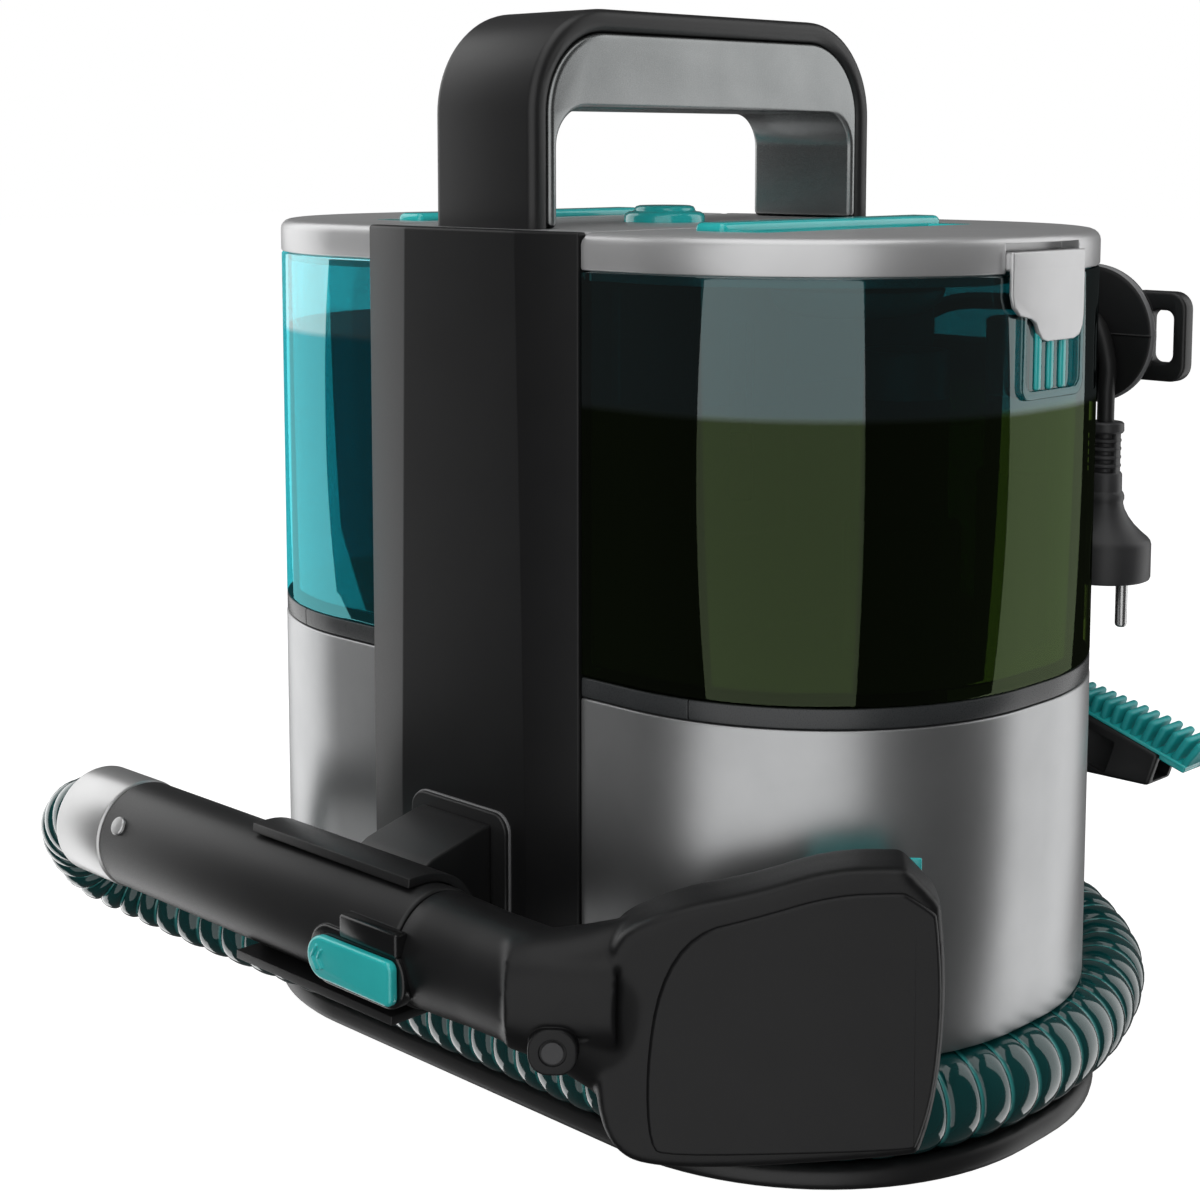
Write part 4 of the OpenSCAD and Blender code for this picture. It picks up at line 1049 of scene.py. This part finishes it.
def tool_tube():
    """Tube with its slot for the trigger, the latch's frame, a catch and a side stud."""
    profile = [(0, -132.3), (20, -132.3), (20.8, -131.8), (21, -131), (21, 43.2),
               (20.7, 43.9), (20, 44.4), (0, 44.4)]
    body = on_tool(lathe("tube", profile, BLACK, 96))
    cut(body, block("slot", (-73, DOCK_Y + 9, TOOL_Z - 11), (-23, DOCK_Y + 30, TOOL_Z + 11), BLACK))
    plate = prism("frame", rounded_rect(50, 21, 9.5), 17.0, 21.9, BLACK_GLOSS, 0.8, 3, axis="Y")
    move(plate, 27.0, DOCK_Y, LATCH_Z)
    catch = block("catch", (19, -22.6, 3.4), (49, -17, 11.6), BLACK_GLOSS, 1.0, 3)
    move(catch, 0, DOCK_Y, TOOL_Z)
    stud = lathe("stud", [(0, 0), (3.4, 0), (3.6, 0.3), (3.6, 1), (3.2, 1.5), (0, 1.7)],
                 COLLAR, 32)
    shift(stud, at(-121.5, DOCK_Y, TOOL_Z) @ rotation(-28.0, "X") @ at(0, -20.6, 0)
          @ rotation(90, "X"))
    return join("tool_tube_fine", [body, plate, stud, catch])


put(tool_tube(), "hand_tool", "black_plastic", "tool_tube", "tool_sleeve")


def latch():
    """Teal slide: a pill with raised chevrons."""
    outline = (arc(7.6, 0, 7.6, 90, 270, 20) + arc(41.6, -4.6, 3.2, 270, 360, 8)
               + arc(41.6, 4.6, 3.2, 0, 90, 8))
    parts = [prism("pill", outline, 21.9, 25.6, TEAL, 1.2, 5, axis="Y")]
    for k, x in enumerate((3.4, 6.6)):
        for side in (-1, 1):
            ridge = block("ridge", (-0.55, -0.8, -0.2), (0.55, 0.5, 5.2 - k), TEAL, 0.4, 2)
            mirror = Matrix.Diagonal((1, 1, side, 1))
            shift(ridge, at(x, -25.6, 0) @ mirror @ rotation(32.0, "Y"))
            if side < 0:
                ridge.data.flip_normals()
            parts.append(ridge)
    return move(join("tool_latch_fine", parts), 4.7, DOCK_Y, LATCH_Z)


put(latch(), "head_latch", "teal_plastic", "tool_latch")


# ---- nozzle head

HEAD = at(BEND_X, DOCK_Y, TOOL_Z) @ rotation(HEAD_TURN, "Z")
NECK_R = 19.6


def smooth_outline(points):
    """Rounds the corners of a closed outline by cutting them twice."""
    for _ in range(2):
        result = []
        for i, (x0, y0) in enumerate(points):
            x1, y1 = points[(i + 1) % len(points)]
            result += [(x0 * 0.75 + x1 * 0.25, y0 * 0.75 + y1 * 0.25),
                       (x0 * 0.25 + x1 * 0.75, y0 * 0.25 + y1 * 0.75)]
        points = result
    return points


def draw_in(points, inset):
    """Moves a counter-clockwise outline inwards."""
    result = []
    for i, (x, y) in enumerate(points):
        ax, ay = points[i - 1]
        bx, by = points[(i + 1) % len(points)]
        dx, dy = bx - ax, by - ay
        n = math.hypot(dx, dy) or 1.0
        result.append((x - dy / n * inset, y + dx / n * inset))
    return result


HEAD_OUTLINE = [(16, -20), (18, -40), (24, -50), (33, -54), (56, -54.5), (92, -51.5),
                (119, -48.5), (121, -47), (126, -28), (128.5, 4), (126.4, 33), (125.4, 35.5),
                (115.5, 46), (113.5, 46.4), (92, 46), (67, 37.6), (45, 33), (30, 27), (22.7, 21.6),
                (18, 8)]
PANEL_OUTLINE = [(34, -46), (40, -49), (90, -47), (118, -45), (119.5, -43.5), (124.4, -26),
                 (126.6, 4), (124.6, 31), (123.4, 33), (115, 38.6), (113, 39), (92, 38), (67, 30),
                 (48, 25), (37, 8), (33, -20)]
HEAD_DEPTHS = ((11, 3), (10.2, 1.2), (8.6, 0.2), (6, 0), (-4, 0), (-9.6, 0.2),
               (-11.6, 0.9), (-12.6, 2), (-13, 3.6))
PANEL_DEPTHS = ((-11, 0), (-13.1, 0), (-13.8, 0.15), (-14.3, 0.5), (-14.6, 1))
# Sections of the flare: distance from the bend, half width, half heights above and below
FLARE = ((-12, 17.6, 17.8, 17.8), (-4, 18.8, 19.4, 20.6), (5, 18.6, 20.3, 25.2),
         (14, 17.6, 21.8, 31.6), (22, 15.6, 23.6, 37.5), (30, 13.4, 25.4, 43),
         (40, 11.4, 27.6, 46.5))


def head_rings(outline, depths):
    """Rings of a smoothed outline at (depth, inset) pairs, in the head's own frame."""
    smoothed = smooth_outline(outline)
    return [[(s, y, z) for s, z in draw_in(smoothed, inset)] for y, inset in depths]


def nozzle():
    """Neck and head blended into one moulding."""
    head = shift(loft("head", head_rings(HEAD_OUTLINE, HEAD_DEPTHS), HEAD_BLACK), HEAD)
    neck = on_tool(lathe("neck", [(0, 60), (NECK_R, 60.0), (NECK_R, 96.5), (0, 96.5)],
                         HEAD_BLACK, 64))
    elbow = [Vector((BEND_X - 12, DOCK_Y, TOOL_Z))]
    for k in range(17):
        s = -8.0 + 2.0 * k
        elbow.append(HEAD @ Vector((s, 0, 0)) if s >= 0 else Vector((BEND_X + s, DOCK_Y, TOOL_Z)))
    sweep = tube("elbow", elbow, NECK_R, HEAD_BLACK, 64)
    flare_rings = []
    for s, ry, rz_up, rz_down in FLARE:
        ring = []
        for k in range(48):
            a = math.tau * k / 48
            rz = rz_up if math.sin(a) > 0 else rz_down
            ring.append((s, ry * math.cos(a), rz * math.sin(a)))
        flare_rings.append(ring)
    flare = shift(loft("flare", flare_rings, HEAD_BLACK), HEAD)
    body = join("nozzle_blend", [head, neck, sweep, flare])
    mod = body.modifiers.new("remesh", "REMESH")
    mod.mode = "VOXEL"
    mod.voxel_size = 1.0 * MM
    bake(body)
    mod = body.modifiers.new("smooth", "SMOOTH")
    mod.factor = 0.5
    mod.iterations = 9
    bake(body)
    recess = block("recess", (-9, -40, -30), (17, -17, -7), HEAD_BLACK, 2.5, 4)
    return cut(body, shift(recess, HEAD))


def boss():
    """Pill-shaped boss with its shallow screw hole."""
    pill = prism("pill", rounded_rect(16, 15, 6.5), 13.5, 21.4, HEAD_BLACK, 0.9, axis="Y")
    cut(pill, along_y(lathe("well", [(4.4, -30), (4.4, -20.9)], HEAD_BLACK, 48)))
    return shift(pill, HEAD @ at(4, 0, -12))


NECK_RING = [(0, 44.8), (19.4, 44.8), (20, 45.2), (20.2, 46), (20.2, 53), (20, 60),
             (19.7, 67), (19.3, 74), (18.8, 81), (0, 81)]
nozzle_parts = [nozzle(), on_tool(lathe("neck_ring", NECK_RING, HEAD_BLACK, 96)), boss()]
put(join("nozzle_moulding", nozzle_parts), "nozzle", "black_plastic", "nozzle_neck",
    "nozzle_shell")


def cover_panel():
    """Raised panel with a rolled edge."""
    rings = head_rings(PANEL_OUTLINE, PANEL_DEPTHS)
    return shift(loft("head_panel", rings, HEAD_BLACK, sharp=25.0), HEAD)


put(cover_panel(), "nozzle", "black_plastic", "nozzle_cover")


def brush():
    """Brush plate and its fluted tufts."""
    parts = [block("plate", (86, 11, -28), (122, 12.6, 42), TEAL, 0.5)]
    for row in range(4):
        for k in range(9):
            s = 90 + row * 28 / 3
            z = -24 + 7 * k + (row % 2) * 3.5
            rings = []
            for height, radius in ((0, 1.9), (3, 2), (6.5, 2.25), (7.8, 2.1), (8.4, 1.4)):
                ring = []
                for a in range(16):
                    r = radius * (1.0 if a % 2 else 0.86)
                    t = math.tau * a / 16
                    ring.append((s + r * math.cos(t), 12.5 + height, z - r * math.sin(t)))
                rings.append(ring)
            parts.append(loft("tuft", rings, BRISTLE, sharp=80.0))
    return join("head_brush", [shift(p, HEAD) for p in parts])


put(brush(), "nozzle", "brush_teal", "nozzle_brush")


# ---- CAD nodes that stay

KEPT = {
    "rubber_feet": RUBBER, "base_screws": STEEL, "chassis_deck": INNER, "spine_core": INNER,
    "handle_screws": STEEL, "motor": MOTOR, "fan_rotor": MOTOR, "fan_housing": INNER,
    "suction_duct": INNER, "pump": INNER, "circuit_board": BOARD, "clean_valve_seat": INNER,
    "hose_port": BLACK, "hose_clips": BLACK, "cord_hooks": BLACK, "crevice_holder": BLACK,
    "clean_outlet_valve": WHITE_VALVE, "float": FLOAT, "tool_trigger": TEAL,
    "neck_screw": PLUG_GREY,
}
for node, material in KEPT.items():
    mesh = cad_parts[node].data
    mesh.materials.clear()
    mesh.materials.append(material)


# ---- floor, world and lights

FLOOR_HALF, FLOOR_Z, FLOOR_GLOW = 9000, -0.4, 0.985
SKY_LIGHT, SKY_SEEN = 0.07, 1.0     # strength as a light, and as the backdrop


def floor_material():
    """Pale floor that glows a little, so it meets the white backdrop with soft shadows."""
    mat, tree, bsdf = new_material("floor_pale")
    pale = two_tone(tree, add_noise(tree, 1.5, 2.0), (0.30, 0.30, 0.30), (0.32, 0.32, 0.32))
    fill(tree, bsdf, Base_Color=pale, Roughness=0.9, Specular_IOR_Level=0.0)
    glow = add_node(tree, "ShaderNodeEmission", Strength=FLOOR_GLOW)
    rays = add_node(tree, "ShaderNodeLightPath")
    seen = add_node(tree, "ShaderNodeMixShader", Fac=rays.outputs["Is Camera Ray"])
    tree.links.new(bsdf.outputs["BSDF"], seen.inputs[1])
    tree.links.new(add_shaders(tree, bsdf.outputs["BSDF"], glow.outputs["Emission"]), seen.inputs[2])
    fill(tree, tree.nodes["Material Output"], Surface=seen.outputs["Shader"])
    return mat


floor_corners = [(FLOOR_HALF * x, FLOOR_HALF * y, FLOOR_Z)
                 for x, y in ((-1, -1), (1, -1), (1, 1), (-1, 1))]
floor = solid("floor", floor_corners, [(0, 1, 2, 3)], floor_material())
floor.visible_glossy = False

world = bpy.data.worlds.new("studio")
scene.world = world
world.use_nodes = True
sky = world.node_tree
rays = add_node(sky, "ShaderNodeLightPath")
sky_strength = map_range(sky, rays.outputs["Is Camera Ray"], SKY_LIGHT, SKY_SEEN)
fill(sky, sky.nodes["Background"], Color=(1.0, 1.0, 1.0, 1.0), Strength=sky_strength)


def softbox(name, azimuth, distance, width, height, centre_z, strength, aim_z):
    """Rectangular light at an azimuth round the object, turned to a height on its axis."""
    data = bpy.data.lights.new(name, "AREA")
    data.shape = "RECTANGLE"
    data.size = width
    data.size_y = height
    data.energy = strength * width * height * math.pi
    obj = add_object(name, data)
    a = math.radians(azimuth)
    obj.location = (math.sin(a) * distance, -math.cos(a) * distance, centre_z)
    obj.rotation_mode = "QUATERNION"
    obj.rotation_quaternion = (Vector((0, 0, aim_z)) - obj.location).to_track_quat("-Z", "Y")
    obj.visible_camera = False


softbox("front_right_box", 28, 1.9, 2.6, 4.4, 0.15, 1.1, 0.15)
softbox("rear_right_box", 150, 1.9, 1.5, 4.4, 0.15, 1.3, 0.15)
softbox("left_box", -80, 1.9, 1.6, 4.4, 0.15, 1.5, 0.15)
softbox("top_box", 20, 0.35, 1.8, 1.8, 2.0, 1.4, 0.2)

scene.view_settings.view_transform = "Standard"
